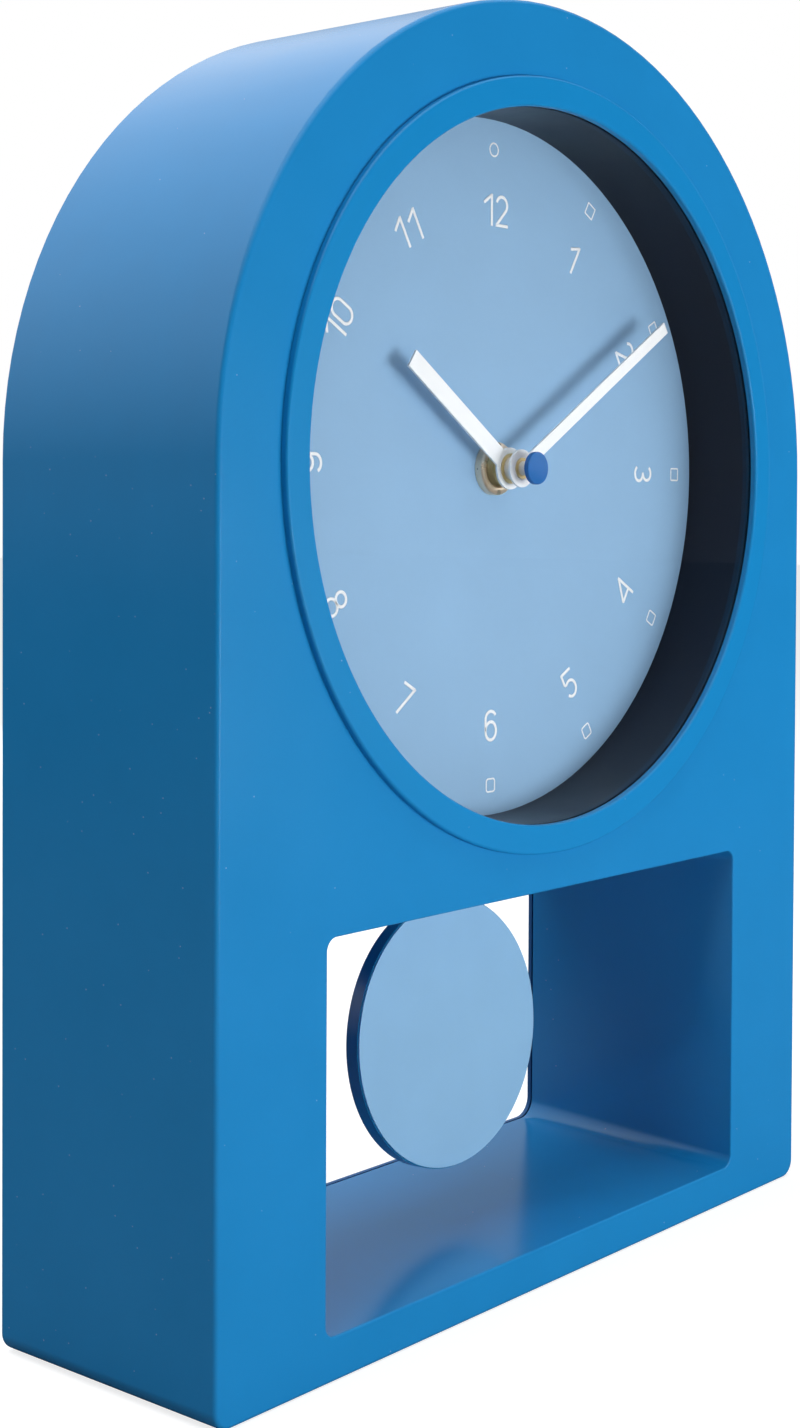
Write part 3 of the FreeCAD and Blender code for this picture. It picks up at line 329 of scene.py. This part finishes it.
# %% Plastic and lacquer materials
case_paint = satin("case_blue", (27, 131, 194), 0.20, 0.003, tone=0.02, dust=0.10, rough_spread=0.02)
bezel_paint = satin("bezel_blue", (18, 131, 194), 0.26, 0.003, tone=0.01, dust=0.04, rough_spread=0.005)
panel_paint = satin("panel_blue", (16, 84, 140), 0.45, 0.02, tone=0.05)
tube_plastic = satin("tube_navy", (15, 22, 36), 0.34, 0.008, tone=0.06)
dial_lacquer = satin("dial_blue", (142, 180, 214), 0.60, 0.012, tone=0.02, grain_per_metre=1700.0)
hand_lacquer = satin("hand_white", (243, 246, 248), 0.45, 0.004, tone=0.01)
ink = satin("white_ink", (248, 251, 253), 0.55, 0.003, tone=0.01)
cap_plastic = satin("cap_blue", (38, 100, 168), 0.24, 0.001, tone=0.02)
bob_lacquer = satin("bob_light_blue", (141, 187, 222), 0.42, 0.010, tone=0.025)
bob_rim_plastic = satin("bob_petrol", (22, 112, 156), 0.24, 0.004, tone=0.05)
black_plastic = satin("black_plastic", (32, 32, 34), 0.42, 0.02, tone=0.08)
grey_plastic = satin("grey_plastic", (178, 178, 174), 0.45, 0.01)
acetal = satin("acetal", (236, 232, 222), 0.38, 0.006)
rubber = satin("black_rubber", (18, 18, 19), 0.70, 0.02, tone=0.10)
board_mask = satin("board_green", (26, 92, 58), 0.30, 0.006)
for material, mirror in ((cap_plastic, 0.25), (tube_plastic, 0.2), (dial_lacquer, 0.3)):
    material.node_tree.nodes["Principled BSDF"].inputs["Specular IOR Level"].default_value = mirror
print("plastics and lacquers, from", case_paint.name, "to", board_mask.name)

# %% [markdown]
# ## Finish: metals
# Brass and plated steel are full metals: their colour is the colour of their reflection. The turned rings
# go to the bump, and a slow tarnish moves the tone between fresh and dull. Cut and wound parts use the
# same builder with another colour. The brass under the dial's lens is lacquered, and the lacquer lays a
# little plain colour over its mirror, so it isn't full metal.

# %% Metal material builder
tarnish_spread = 0.3
ring_bump = 0.3


def metal(name, bright, dull, roughness, ring_depth, axis=(0.0, 0.0, 0.0), rings_per_metre=9000.0):
    """Turned or plated metal; axis is a point on the line that the tool marks run round."""
    material, tree, shader, place = new_material(name)
    centred = add(tree, "Mapping", {"Vector": place, "Location": tuple(-v for v in axis)})
    marks = use_group(tree, turned_group, {"Place": centred.outputs["Vector"],
                                           "Rings per metre": rings_per_metre})
    tarnished = add(tree, "Mix", {"Factor": marks.outputs["Tone"], "A": linear(*bright), "B": linear(*dull)},
                    data_type="RGBA")
    tree.links.new(tarnished.outputs["Result"], shader.inputs["Base Color"])
    rough = add(tree, "MapRange", {"Value": marks.outputs["Tone"], "To Min": roughness * (1 - tarnish_spread),
                                   "To Max": roughness * (1 + tarnish_spread)})
    tree.links.new(rough.outputs[0], shader.inputs["Roughness"])
    bump = add(tree, "Bump", {"Height": marks.outputs["Height"], "Strength": ring_bump,
                              "Distance": ring_depth * MM})
    tree.links.new(bump.outputs["Normal"], shader.inputs["Normal"])
    shader.inputs["Metallic"].default_value = 1.0
    return material


on_shaft = tuple(dial_middle)
brass = metal("brass", (246, 226, 172), (222, 190, 124), 0.34, 0.012, on_shaft)
pale_brass = metal("pale_brass", (250, 234, 210), (228, 200, 166), 0.30, 0.006, on_shaft)
steel = metal("steel", (200, 201, 203), (158, 160, 163), 0.30, 0.01)
can_steel = metal("can_steel", (212, 213, 215), (186, 188, 190), 0.18, 0.005)
copper = metal("copper_wire", (196, 112, 66), (120, 60, 34), 0.32, 0.08, rings_per_metre=5200.0)
magnet = metal("magnet_grey", (120, 121, 124), (88, 89, 92), 0.45, 0.01)
for material, share in ((pale_brass, 0.70), (brass, 0.80)):
    material.node_tree.nodes["Principled BSDF"].inputs["Metallic"].default_value = share
print("metals, from", brass.name, "to", magnet.name)

# %% [markdown]
# ## Finish: the lens
# The lens is a clear flat disc. True glass would cast a dark shadow on the dial, because the renderer
# doesn't follow light bent by it to a lamp. So rays that look for a lamp pass straight through, and all
# others see real glass with its faint reflection.

# %% Lens material
lens_glass, tree, shader, place = new_material("clear_lens")
shader.inputs["Base Color"].default_value = (1.0, 1.0, 1.0, 1.0)
shader.inputs["Transmission Weight"].default_value = 1.0
shader.inputs["IOR"].default_value = 1.45
haze = use_group(tree, skin_group, {"Place": place, "Grain per metre": 30.0, "Clouds per metre": 18.0})
polish = add(tree, "MapRange", {"Value": haze.outputs["Cloud"], "To Min": 0.0, "To Max": 0.02})
tree.links.new(polish.outputs[0], shader.inputs["Roughness"])
passing = add(tree, "BsdfTransparent")
path = add(tree, "LightPath")
pane = add(tree, "MixShader", {"Fac": path.outputs["Is Shadow Ray"], 1: shader.outputs["BSDF"],
                               2: passing.outputs["BSDF"]})
tree.links.new(pane.outputs[0], tree.nodes["Material Output"].inputs["Surface"])
print("lens:", lens_glass.name)

# %% [markdown]
# ## Finish: the battery
# A cell has a printed sleeve in two bands, with its bare steel nub at one end. The band is chosen by how
# far along the cell a point lies. The sleeve is glossy, with faint scuffs from handling.

# %% Battery material
copper_start = 0.66
nub_start = 0.965
battery_low, battery_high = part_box("battery")
battery_sleeve, tree, shader, place = new_material("battery_sleeve")
along_cell = add(tree, "SeparateXYZ", {0: place})
band = add(tree, "MapRange", {"Value": along_cell.outputs["X"], "From Min": battery_low.x,
                              "From Max": battery_high.x})
stops = add(tree, "ValToRGB", {"Fac": band.outputs[0]})
stops.color_ramp.interpolation = "CONSTANT"
black_sleeve, copper_sleeve = stops.color_ramp.elements
black_sleeve.color = linear(34, 34, 36)
copper_sleeve.position = copper_start
copper_sleeve.color = linear(184, 132, 70)
nub = stops.color_ramp.elements.new(nub_start)
nub.color = linear(205, 206, 208)
tree.links.new(stops.outputs["Color"], shader.inputs["Base Color"])
scuffs = use_group(tree, skin_group, {"Place": place, "Grain per metre": 900.0, "Clouds per metre": 120.0})
sleeve_rough = add(tree, "MapRange", {"Value": scuffs.outputs["Cloud"], "To Min": 0.16, "To Max": 0.34})
tree.links.new(sleeve_rough.outputs[0], shader.inputs["Roughness"])
print("battery from", round(battery_low.x / MM, 1), "to", round(battery_high.x / MM, 1), "mm")

# %% [markdown]
# ## Dressing the solids
# Most solids already have the right shape, so each only gets its finish in place of the plain one that it
# came with. A frame mesh is loose triangles, which show as small flats on the arch and the rings. The
# curved pieces that show are therefore copied, their corners are joined, and they are shaded smooth up to
# a sharp edge. A Weighted Normal modifier lets the large flats keep their own direction, so that only the
# small rounded edges bend the light. The copy then stands for the solid.

# %% Helpers for finishing a solid
join_distance = 0.001


def dress(material, *names):
    """Puts a material on solids that keep their own mesh."""
    for name in names:
        for slot in nodes[name].material_slots:
            slot.material = material


def stand_in(mesh, piece_name, name, material, sharp_degrees=32.0):
    """Shades a mesh smooth up to its sharp edges and lets it stand for the named solid."""
    mesh.shade_smooth()
    mesh.set_sharp_from_angle(angle=math.radians(sharp_degrees))
    mesh.materials.clear()
    mesh.materials.append(material)
    piece = into_scene(piece_name, mesh)
    flat_first = piece.modifiers.new("flat_first", "WEIGHTED_NORMAL")
    flat_first.keep_sharp = True
    flat_first.weight = 50
    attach(piece, nodes[name]["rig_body"])
    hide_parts(name)


def smooth_copy(name, material):
    """Replaces a solid by the same shape with joined corners and smooth shading."""
    mesh = nodes[name].data.copy()
    shape = bmesh.new()
    shape.from_mesh(mesh)
    bmesh.ops.remove_doubles(shape, verts=shape.verts, dist=join_distance * MM)
    shape.to_mesh(mesh)
    shape.free()
    if "custom_normal" in mesh.attributes:
        mesh.attributes.remove(mesh.attributes["custom_normal"])
    stand_in(mesh, name + "_finished", name, material)


print("finishing helpers ready")

# %% Give every solid its finish
curved = {
    "case_shell": case_paint, "dial_shroud": tube_plastic, "lens_gasket": rubber,
    "dial_plate": dial_lacquer, "bushing": brass, "hour_hand": hand_lacquer, "minute_hand": hand_lacquer,
    "hour_collar": brass, "minute_collar": brass, "cap_stem": brass, "center_cap": cap_plastic,
    "pendulum_bob": bob_rim_plastic, "bob_face": bob_lacquer, "battery": battery_sleeve,
    "setting_knob": black_plastic, "back_screws": steel, "lens": lens_glass,
}
for name, material in curved.items():
    smooth_copy(name, material)

dress(panel_paint, "back_panel")
dress(steel, "shroud_screws", "dial_screws", "stator", "coil_core", "positive_contact", "negative_contact",
      "hanger_pin", "pendulum_rod")
dress(rubber, "dial_cushion")
dress(black_plastic, "movement_front_case", "movement_rear_case", "control_chip")
dress(grey_plastic, "train_plate")
dress(acetal, "hour_wheel", "minute_arbor", "motion_wheel", "setting_arbor", "center_wheel", "third_wheel",
      "seconds_wheel", "step_wheel", "pendulum_hanger")
dress(magnet, "rotor", "hanger_magnet")
dress(copper, "clock_coil", "drive_coil")
dress(board_mask, "circuit_board")
dress(can_steel, "quartz_crystal")
dress(bob_rim_plastic, "rod_clip")
print("smooth copies:", len(curved))

# %% [markdown]
# ## Turned rings
# The bezel and the dial's nut are rings, so each is a section that is spun round the hand shaft. The section
# is drawn as radius against height above the dial. A whole turn joins its ends, and a part of a turn keeps
# both end faces. The faces are made one section after another, so they come in the same order in every run.

# %% Helpers for turned rings
def spun(shape, profile, start, sweep, steps):
    """Spins a closed profile of radius and height above the dial round the hand shaft, in degrees."""
    whole_turn = sweep >= 360.0
    sections = []
    for i in range(steps if whole_turn else steps + 1):
        heading = math.radians(start + sweep * i / steps)
        outward = Vector((math.sin(heading), 0.0, math.cos(heading)))
        sections.append([shape.verts.new(dial_middle + (outward * radius + Vector((0.0, -height, 0.0))) * MM)
                         for radius, height in profile])
    for i in range(steps):
        here = sections[i]
        there = sections[(i + 1) % len(sections)]
        for j in range(len(profile)):
            shape.faces.new((here[j - 1], here[j], there[j], there[j - 1]))
    if not whole_turn:
        shape.faces.new(sections[0])
        shape.faces.new(sections[-1])


def turned_piece(shape, piece_name, name, material, sharp_degrees=32.0):
    """Makes a spun shape into a piece that stands for the named solid."""
    bmesh.ops.recalc_face_normals(shape, faces=shape.faces)
    mesh = bpy.data.meshes.new(piece_name)
    shape.to_mesh(mesh)
    shape.free()
    print(piece_name, "has", len(mesh.polygons), "faces")
    stand_in(mesh, piece_name, name, material, sharp_degrees)


print("ring helpers ready")

# %% [markdown]
# ## The bezel
# The bezel is a moulded ring with a flat front, two small rounded edges and a thin skirt that goes into the
# case. A smooth copy of its solid would do too. It is spun instead, because that gives even rows of faces,
# and light runs smoothly over the flat front and the rounded edges. The sizes are those of the solid.

# %% Bezel
bezel_inner = 77.6
bezel_outer = 84.0
bezel_stand = 1.5
bezel_lip = 0.1
bezel_round = 0.6
skirt_inner = 80.1
skirt_outer = 81.3
round_steps = 5
bezel_steps = 240

bezel_low, bezel_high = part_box("bezel_ring")
bezel_front = (dial_middle.y - bezel_low.y) / MM
skirt_end = (dial_middle.y - bezel_high.y) / MM
case_front = bezel_front - bezel_stand
lens_seat = case_front - bezel_lip
bezel_profile = [(bezel_inner, lens_seat)]
for i in range(round_steps + 1):
    angle = math.radians(90.0 * i / round_steps)
    bezel_profile.append((bezel_inner + bezel_round * (1 - math.cos(angle)),
                          bezel_front - bezel_round * (1 - math.sin(angle))))
for i in range(round_steps + 1):
    angle = math.radians(90.0 * i / round_steps)
    bezel_profile.append((bezel_outer - bezel_round * (1 - math.sin(angle)),
                          bezel_front - bezel_round * (1 - math.cos(angle))))
bezel_profile += [(bezel_outer, case_front), (skirt_outer, case_front), (skirt_outer, skirt_end),
                  (skirt_inner, skirt_end), (skirt_inner, lens_seat)]
bezel_shape = bmesh.new()
spun(bezel_shape, bezel_profile, 0.0, 360.0, bezel_steps)
turned_piece(bezel_shape, "bezel_ring_turned", "bezel_ring", bezel_paint)
print("bezel stands", round(bezel_front, 2), "mm above the dial")

# %% [markdown]
# ## The ring nut
# The nut that holds the dial is a thin turned ring with a slot at its top and one at its foot, for a pin
# spanner. The ring inside the slots is one whole turn, and the two arcs between the slots are spun apart
# from it, so the slots need no cutting.

# %% Ring nut
nut_bore = 4.05
nut_step = 4.75
nut_rim = 5.95
nut_front = 2.0
nut_chamfer = 0.45
bore_chamfer = 0.3
rim_curve = ((0.0, 0.55), (0.14, 0.24))
slot_half_turn = 6.0
nut_steps = 64
nut_sharp_degrees = 40.0

inner_profile = [(nut_bore, 0.0), (nut_step, 0.0), (nut_step, nut_front),
                 (nut_bore + bore_chamfer, nut_front), (nut_bore, nut_front - bore_chamfer)]
outer_profile = [(nut_step, 0.0), (nut_rim, 0.0)]
outer_profile += [(nut_rim - inset, nut_front - drop) for inset, drop in rim_curve]
outer_profile += [(nut_rim - nut_chamfer, nut_front), (nut_step, nut_front)]
nut = bmesh.new()
spun(nut, inner_profile, 0.0, 360.0, nut_steps)
for side_start in (0.0, 180.0):
    spun(nut, outer_profile, side_start + slot_half_turn, 180.0 - 2 * slot_half_turn, nut_steps // 2)
turned_piece(nut, "ring_nut_turned", "ring_nut", pale_brass, nut_sharp_degrees)

# %% [markdown]
# ## Numbers on the dial
# The numbers are printed in thin white lines, one stroke width all over. A stroke is a curve with a round
# bevel that is pressed nearly flat, as ink is: curves keep the width even round every bend, which a cut
# outline would not. Each figure is a list of strokes in its own upright frame, in millimetres from its
# middle. A straight stroke overruns by about half its width, so that it ends level with the round ones.

# %% Strokes of the figures
stroke_width = 0.75
figure_height = 7.2
figure_width = 4.4
overrun = 0.35
ink_height = 0.04


def arc(centre_u, centre_v, radius_u, radius_v, start, end, steps=20):
    """Points along part of an ellipse, with angles in degrees from the right, anticlockwise."""
    turns = [math.radians(start + (end - start) * i / steps) for i in range(steps + 1)]
    return [(centre_u + radius_u * math.cos(t), centre_v + radius_v * math.sin(t)) for t in turns]


def turned_over(strokes):
    """The same strokes turned by half a turn."""
    return [[(-u, -v) for u, v in stroke] for stroke in strokes]


high = (figure_height - stroke_width) / 2
low = -high
side = (figure_width - stroke_width) / 2
bowl_half = 2.05
hook_height = 1.75
cap_half = 1.5
base_half = 1.725
six_bowl = arc(0.0, low + bowl_half, side, bowl_half, 90.0, 450.0, 36)
six_hook = arc(0.0, high - hook_height, side, hook_height, 180.0, 28.0)
six_side = [(-side, low + bowl_half)] + six_hook
figures = {
    "0": [arc(0.0, high - side, side, side, 0.0, 180.0) + arc(0.0, low + side, side, side, 180.0, 360.0)
          + [(side, high - side)]],
    "1": [[(1.2, low - overrun), (1.2, high + overrun)], [(-1.5, 1.4), (1.2, high + 0.1)]],
    "2": [arc(0.0, high - side, side, side, 165.0, -35.0) + [(-side - 0.1, low)],
          [(-side - 0.3, low), (side + 0.3, low)]],
    "3": [arc(0.0, 1.65, 1.65, high - 1.65, 150.0, -90.0) + arc(0.0, -1.65, 1.8, 1.6, 90.0, -150.0)],
    "4": [[(1.8, low - overrun), (1.8, high + overrun)], [(-2.3, -1.3), (1.8, -1.3)],
          [(-2.25, -1.3), (1.75, high)]],
    "5": [[(side, high), (-side, high)], [(-side, high + 0.3), (-side, 0.45)],
          [(-side, 0.5)] + arc(0.0, low + 2.0, side, 2.0, 130.0, -150.0)],
    "6": [six_bowl, six_side],
    "7": [[(-1.9, high), (2.1, high)], [(2.1, high + 0.3), (-0.9, low - overrun)]],
    "8": [arc(0.0, high - cap_half, side - 0.25, cap_half, 90.0, 450.0, 36),
          arc(0.0, low + base_half, side, base_half, 90.0, 450.0, 36)],
}
figures["9"] = turned_over(figures["6"])
print("figures:", len(figures))

# %% [markdown]
# Numbers in the upper half have their tops outward, and those in the lower half turn over so that they
# stay readable. Each number's strokes become one mesh, which is turned and moved into its place on the
# dial. The meshes are then collected in a single printed layer.

# %% Helpers for printing on the dial
def flat_strokes(strokes, width, closed=False):
    """Meshes a set of strokes as pressed-flat lines in the XY plane, in metres."""
    curve = bpy.data.curves.new("strokes", "CURVE")
    curve.dimensions = "3D"
    curve.bevel_depth = width / 2 * MM
    curve.bevel_resolution = 1
    curve.use_fill_caps = not closed
    for stroke in strokes:
        spline = curve.splines.new("POLY")
        spline.points.add(len(stroke) - 1)
        for point, (u, v) in zip(spline.points, stroke):
            point.co = (u * MM, v * MM, 0.0, 1.0)
        spline.use_cyclic_u = closed
    holder = into_scene("strokes", curve)
    bpy.context.view_layer.update()
    mesh = bpy.data.meshes.new_from_object(holder.evaluated_get(bpy.context.evaluated_depsgraph_get()))
    bpy.data.objects.remove(holder)
    mesh.transform(Matrix.Diagonal((1.0, 1.0, ink_height / width, 1.0)))
    return mesh


def on_dial(hour, reach, upside_down=False):
    """The matrix that stands a flat drawing on the dial at an hour and a distance from the middle."""
    angle = math.radians(30.0 * hour)
    outward = Vector((math.sin(angle), 0.0, math.cos(angle)))
    sideways = Vector((math.cos(angle), 0.0, -math.sin(angle)))
    sign = -1.0 if upside_down else 1.0
    placed = Matrix((sideways * sign, outward * sign, Vector((0.0, -1.0, 0.0)))).transposed().to_4x4()
    return Matrix.Translation(dial_middle + outward * reach * MM) @ placed


def printed(name, drawings):
    """One printed piece from (mesh, matrix) pairs."""
    shape = bmesh.new()
    for mesh, matrix in drawings:
        mesh.transform(matrix)
        shape.from_mesh(mesh)
        bpy.data.meshes.remove(mesh)
    layer = bpy.data.meshes.new(name)
    bmesh.ops.recalc_face_normals(shape, faces=shape.faces)
    shape.to_mesh(layer)
    shape.free()
    layer.shade_smooth()
    layer.materials.append(ink)
    piece = into_scene(name, layer)
    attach(piece, "clock_case")
    return piece


print("printing helpers ready")

# %% Print the numbers
number_reach = 57.6
digit_step = 4.7
pair_shift = 0.5
number_drawings = []
for hour in range(1, 13):
    digits = str(hour)
    strokes = []
    for i, digit in enumerate(digits):
        shift = (i - (len(digits) - 1) / 2) * digit_step + (pair_shift if len(digits) > 1 else 0.0)
        strokes += [[(u + shift, v) for u, v in stroke] for stroke in figures[digit]]
    number_drawings.append((flat_strokes(strokes, stroke_width), on_dial(hour, number_reach, 4 <= hour <= 8)))
numbers = printed("dial_numbers", number_drawings)
print("faces in the numbers:", len(numbers.data.polygons))

# %% [markdown]
# ## Hour marks
# Outside the numbers runs a ring of small outlined marks. The one at 1 is a square with sharp corners, and
# each next one is rounder, until the mark at 12 is a circle. So one outline with a growing corner radius
# draws all twelve.

# %% Print the hour marks
mark_half = 1.45
mark_line = 0.38
mark_reach = 71.0
least_corner = 0.05


def rounded_square(half, corner):
    """The closed outline of a square with rounded corners."""
    points = []
    for start, sign_u, sign_v in ((0, 1, 1), (90, -1, 1), (180, -1, -1), (270, 1, -1)):
        centre = half - corner
        points += arc(sign_u * centre, sign_v * centre, corner, corner, start, start + 90, 8)
    return points


mark_drawings = []
for hour in range(1, 13):
    corner = max(mark_half * (hour - 1) / 11, least_corner)
    outline = rounded_square(mark_half, corner)
    mark_drawings.append((flat_strokes([outline], mark_line, closed=True), on_dial(hour, mark_reach)))
marks = printed("hour_marks", mark_drawings)
print("faces in the marks:", len(marks.data.polygons))

# %% [markdown]
# ## The floor
# The clock stands on one large pale sheet. It lies a hair below the clock's foot, so the two faces don't
# fight for the same place.

# %% Floor sheet
floor_size = 12.0
floor_drop = 0.05
floor_shape = bmesh.new()
bmesh.ops.create_grid(floor_shape, x_segments=1, y_segments=1, size=floor_size / 2)
floor_mesh = bpy.data.meshes.new("floor")
floor_shape.to_mesh(floor_mesh)
floor_shape.free()
floor = into_scene("floor", floor_mesh)
floor.location.z = -floor_drop * MM
print("floor:", floor_size, "m")

# %% [markdown]
# ## Telling rays apart
# A photographer hides lamps and cards from the camera and still lets them light the object. Light Path
# does that here, because it says what a ray has done before it arrives. The floor and the surroundings use
# the same masks of 0 or 1. A ray is straight while nothing has scattered it. It is seen if it comes from the
# camera, also through the lens, and glossed if a surface mirrored it. It is from the dial if it was scattered
# there and left through the lens. Light Path counts in whole steps, so a limit of 0.5 tells none from one.

# %% Helpers for masks
first_step = 0.5


def ray_masks(tree):
    """The masks for the ray that arrives."""
    path = add(tree, "LightPath").outputs
    straight = combined(tree, "LESS_THAN", path["Diffuse Depth"], first_step)
    scattered = combined(tree, "GREATER_THAN", path["Diffuse Depth"], first_step)
    unmirrored = combined(tree, "LESS_THAN", path["Glossy Depth"], first_step)
    clean = combined(tree, "MULTIPLY", straight, unmirrored)
    through = combined(tree, "MULTIPLY", path["Is Transmission Ray"], clean)
    return {"straight": straight,
            "seen": combined(tree, "MAXIMUM", path["Is Camera Ray"], through),
            "glossed": combined(tree, "MULTIPLY", path["Is Glossy Ray"], straight),
            "from_dial": combined(tree, "MULTIPLY", path["Is Transmission Ray"], scattered)}


def grey(step):
    """A plain grey from 0, black, to 1, white."""
    return (step, step, step, 1.0)


print("mask helpers ready")

# %% [markdown]
# ## Finish: the floor
# To the eye the floor is white with the clock's shadow on it: most of its white glows and the rest is
# ordinary paint. As a source of light it is darker, so it fills the shadows without washing them out. Only
# light scattered through the lens meets a pale floor, which keeps the dial bright. In the gloss of the
# window's floor a white sheet behind the clock shows at about half strength.

# %% Floor material
floor_tone = 0.38
floor_tone_to_dial = 0.90
floor_tone_to_gloss = 0.06
floor_glow = 0.80
floor_paper = 0.35
sheet_share = 0.55
sheet_behind = (0.03, 0.12)
sheet_rightward = (-0.12, 0.05)

floor_paint, tree, shader, place = new_material("floor_pale")
rays = ray_masks(tree)
shader.inputs["Roughness"].default_value = 0.9
shader.inputs["Specular IOR Level"].default_value = 0.0
ground = add(tree, "Mix", {"Factor": rays["from_dial"], "A": grey(floor_tone), "B": grey(floor_tone_to_dial)},
             data_type="RGBA")
bounce = add(tree, "Mix", {"Factor": rays["glossed"], "A": ground.outputs["Result"],
                           "B": grey(floor_tone_to_gloss)}, data_type="RGBA")
tree.links.new(bounce.outputs["Result"], shader.inputs["Base Color"])
paper = add(tree, "BsdfPrincipled", {"Base Color": grey(floor_paper), "Roughness": 1.0,
                                     "Specular IOR Level": 0.0, "Emission Color": grey(1.0),
                                     "Emission Strength": floor_glow})
floor_point = add(tree, "SeparateXYZ", {0: place})
behind = add(tree, "MapRange", {"Value": floor_point.outputs["Y"], "From Min": sheet_behind[0],
                                "From Max": sheet_behind[1]})
rightward = add(tree, "MapRange", {"Value": floor_point.outputs["X"], "From Min": sheet_rightward[0],
                                   "From Max": sheet_rightward[1]})
sheet = combined(tree, "MULTIPLY", behind.outputs[0], rightward.outputs[0])
mirrored_sheet = combined(tree, "MULTIPLY", rays["glossed"], sheet)
faint_sheet = combined(tree, "MULTIPLY", mirrored_sheet, sheet_share)
paper_share = combined(tree, "MAXIMUM", rays["seen"], faint_sheet)
floor_mix = add(tree, "MixShader", {"Fac": paper_share, 1: shader.outputs["BSDF"], 2: paper.outputs["BSDF"]})
tree.links.new(floor_mix.outputs[0], tree.nodes["Material Output"].inputs["Surface"])
floor_mesh.materials.append(floor_paint)
print("floor finish:", floor_paint.name)

# %% [markdown]
# ## Lamps
# Four soft lamps light the clock. The large one overhead hangs a little to the left and lights the arch and
# the left side. The two low ones in front light the face, and the one on the right throws the hands' shadows
# up and to the left across the dial. The last one shines from behind into the window. All of them are left
# out of gloss and glass, which would show them as bright squares.

# %% Lamps
def soft_light(name, place, target, size, power):
    """A square area light at a place, in metres, that faces a target."""
    light = bpy.data.lights.new(name, "AREA")
    light.size = size
    light.energy = power
    lamp = into_scene(name, light)
    aim = Vector(target) - Vector(place)
    lamp.visible_transmission = False
    lamp.visible_camera = False
    lamp.visible_glossy = False
    lamp.matrix_world = Matrix.Translation(place) @ aim.to_track_quat("-Z", "Y").to_matrix().to_4x4()
    return lamp


lamps = [soft_light("overhead", (-0.28, 0.10, 1.30), (0.0, 0.0, 0.20), 1.30, 22.0),
         soft_light("low_right", (0.50, -1.00, 0.07), (0.0, 0.0, 0.18), 0.40, 4.0),
         soft_light("low_front", (0.06, -0.60, 0.04), (0.0, 0.0, 0.19), 0.28, 3.5),
         soft_light("behind", (0.40, 1.15, 0.27), (0.0, 0.0, 0.22), 0.40, 7.5)]
print("lamps:", len(lamps))

# %% [markdown]
# ## What the gloss shows
# A satin surface shows a blurred picture of the room, so the room is drawn here by direction. A pale ceiling
# reaches down behind the clock and toward its left, which gives the window's floor its sheen. A soft patch
# lies straight ahead of the camera, for faces seen at a low angle. The zenith is bright and lights the top
# of the arch. Everything else is dark, so the tube and the right wall of the window stay deep.

# %% Studio by direction
def soft_range(tree, value, start, end, low_value, high_value):
    """A value that rises smoothly from one level to another between a start and an end."""
    return add(tree, "MapRange", {"Value": value, "From Min": start, "From Max": end, "To Min": low_value,
                                  "To Max": high_value}, interpolation_type="SMOOTHSTEP").outputs[0]


world = bpy.data.worlds.new("surroundings")
bpy.context.scene.world = world
world.use_nodes = True
tree = world.node_tree
tree.nodes.clear()
direction = add(tree, "TexCoord").outputs["Generated"]
ahead = add(tree, "VectorMath", {0: direction, 1: tuple(forward)}, operation="DOT_PRODUCT")
patch = soft_range(tree, ahead.outputs["Value"], 0.4, 0.85, 0.03, 0.45)
compass = add(tree, "SeparateXYZ", {0: direction})
ceiling = soft_range(tree, compass.outputs["Z"], -0.25, 0.60, 0.0, 1.15)
rearward = add(tree, "MapRange", {"Value": compass.outputs["Y"], "From Min": -0.10, "From Max": 0.35})
leftward = add(tree, "MapRange", {"Value": compass.outputs["X"], "From Min": 0.85, "From Max": 0.55})
rear_ceiling = combined(tree, "MULTIPLY", ceiling, rearward.outputs[0])
backdrop = combined(tree, "MULTIPLY", rear_ceiling, leftward.outputs[0])
zenith = soft_range(tree, compass.outputs["Z"], 0.35, 0.9, 0.0, 1.0)
above = combined(tree, "MAXIMUM", zenith, backdrop)
studio = combined(tree, "MAXIMUM", patch, above)
print("studio drawn with", len(tree.nodes), "nodes")

# %% [markdown]
# ## Surroundings for each kind of ray
# Light that fills the shadows is faint, and stronger for rays that the dial sends out through its lens.
# Mirrored rays see the studio. The brass behind the lens sees a card low in front on the right, which
# makes its rims shine: such a ray has been through the glass more than twice. What the camera sees, also
# through the lens, is plain white.

# %% Surroundings
fill_strength = 0.09
fill_to_dial = 1.0
card_heading = (0.73, -0.67, -0.14)
third_pass = 2.5

rays = ray_masks(tree)
fill = add(tree, "Mix", {"Factor": rays["from_dial"], "A": fill_strength, "B": fill_to_dial},
           data_type="FLOAT")
gloss = add(tree, "Mix", {"Factor": rays["glossed"], "A": fill.outputs[0], "B": studio}, data_type="FLOAT")
toward_card = add(tree, "VectorMath", {0: direction, 1: card_heading}, operation="DOT_PRODUCT")
card = soft_range(tree, toward_card.outputs["Value"], 0.35, 0.9, 0.30, 1.6)
glass_passes = add(tree, "LightPath").outputs["Transmission Depth"]
back_out = combined(tree, "GREATER_THAN", glass_passes, third_pass)
from_metal = combined(tree, "MULTIPLY", back_out, rays["straight"])
lit = add(tree, "Mix", {"Factor": from_metal, "A": gloss.outputs[0], "B": card}, data_type="FLOAT")
strength = add(tree, "Mix", {"Factor": rays["seen"], "A": lit.outputs[0], "B": 1.0}, data_type="FLOAT")
background = add(tree, "Background", {"Color": grey(1.0), "Strength": strength.outputs[0]})
output = add(tree, "OutputWorld")
tree.links.new(background.outputs[0], output.inputs["Surface"])
print("surroundings:", world.name)
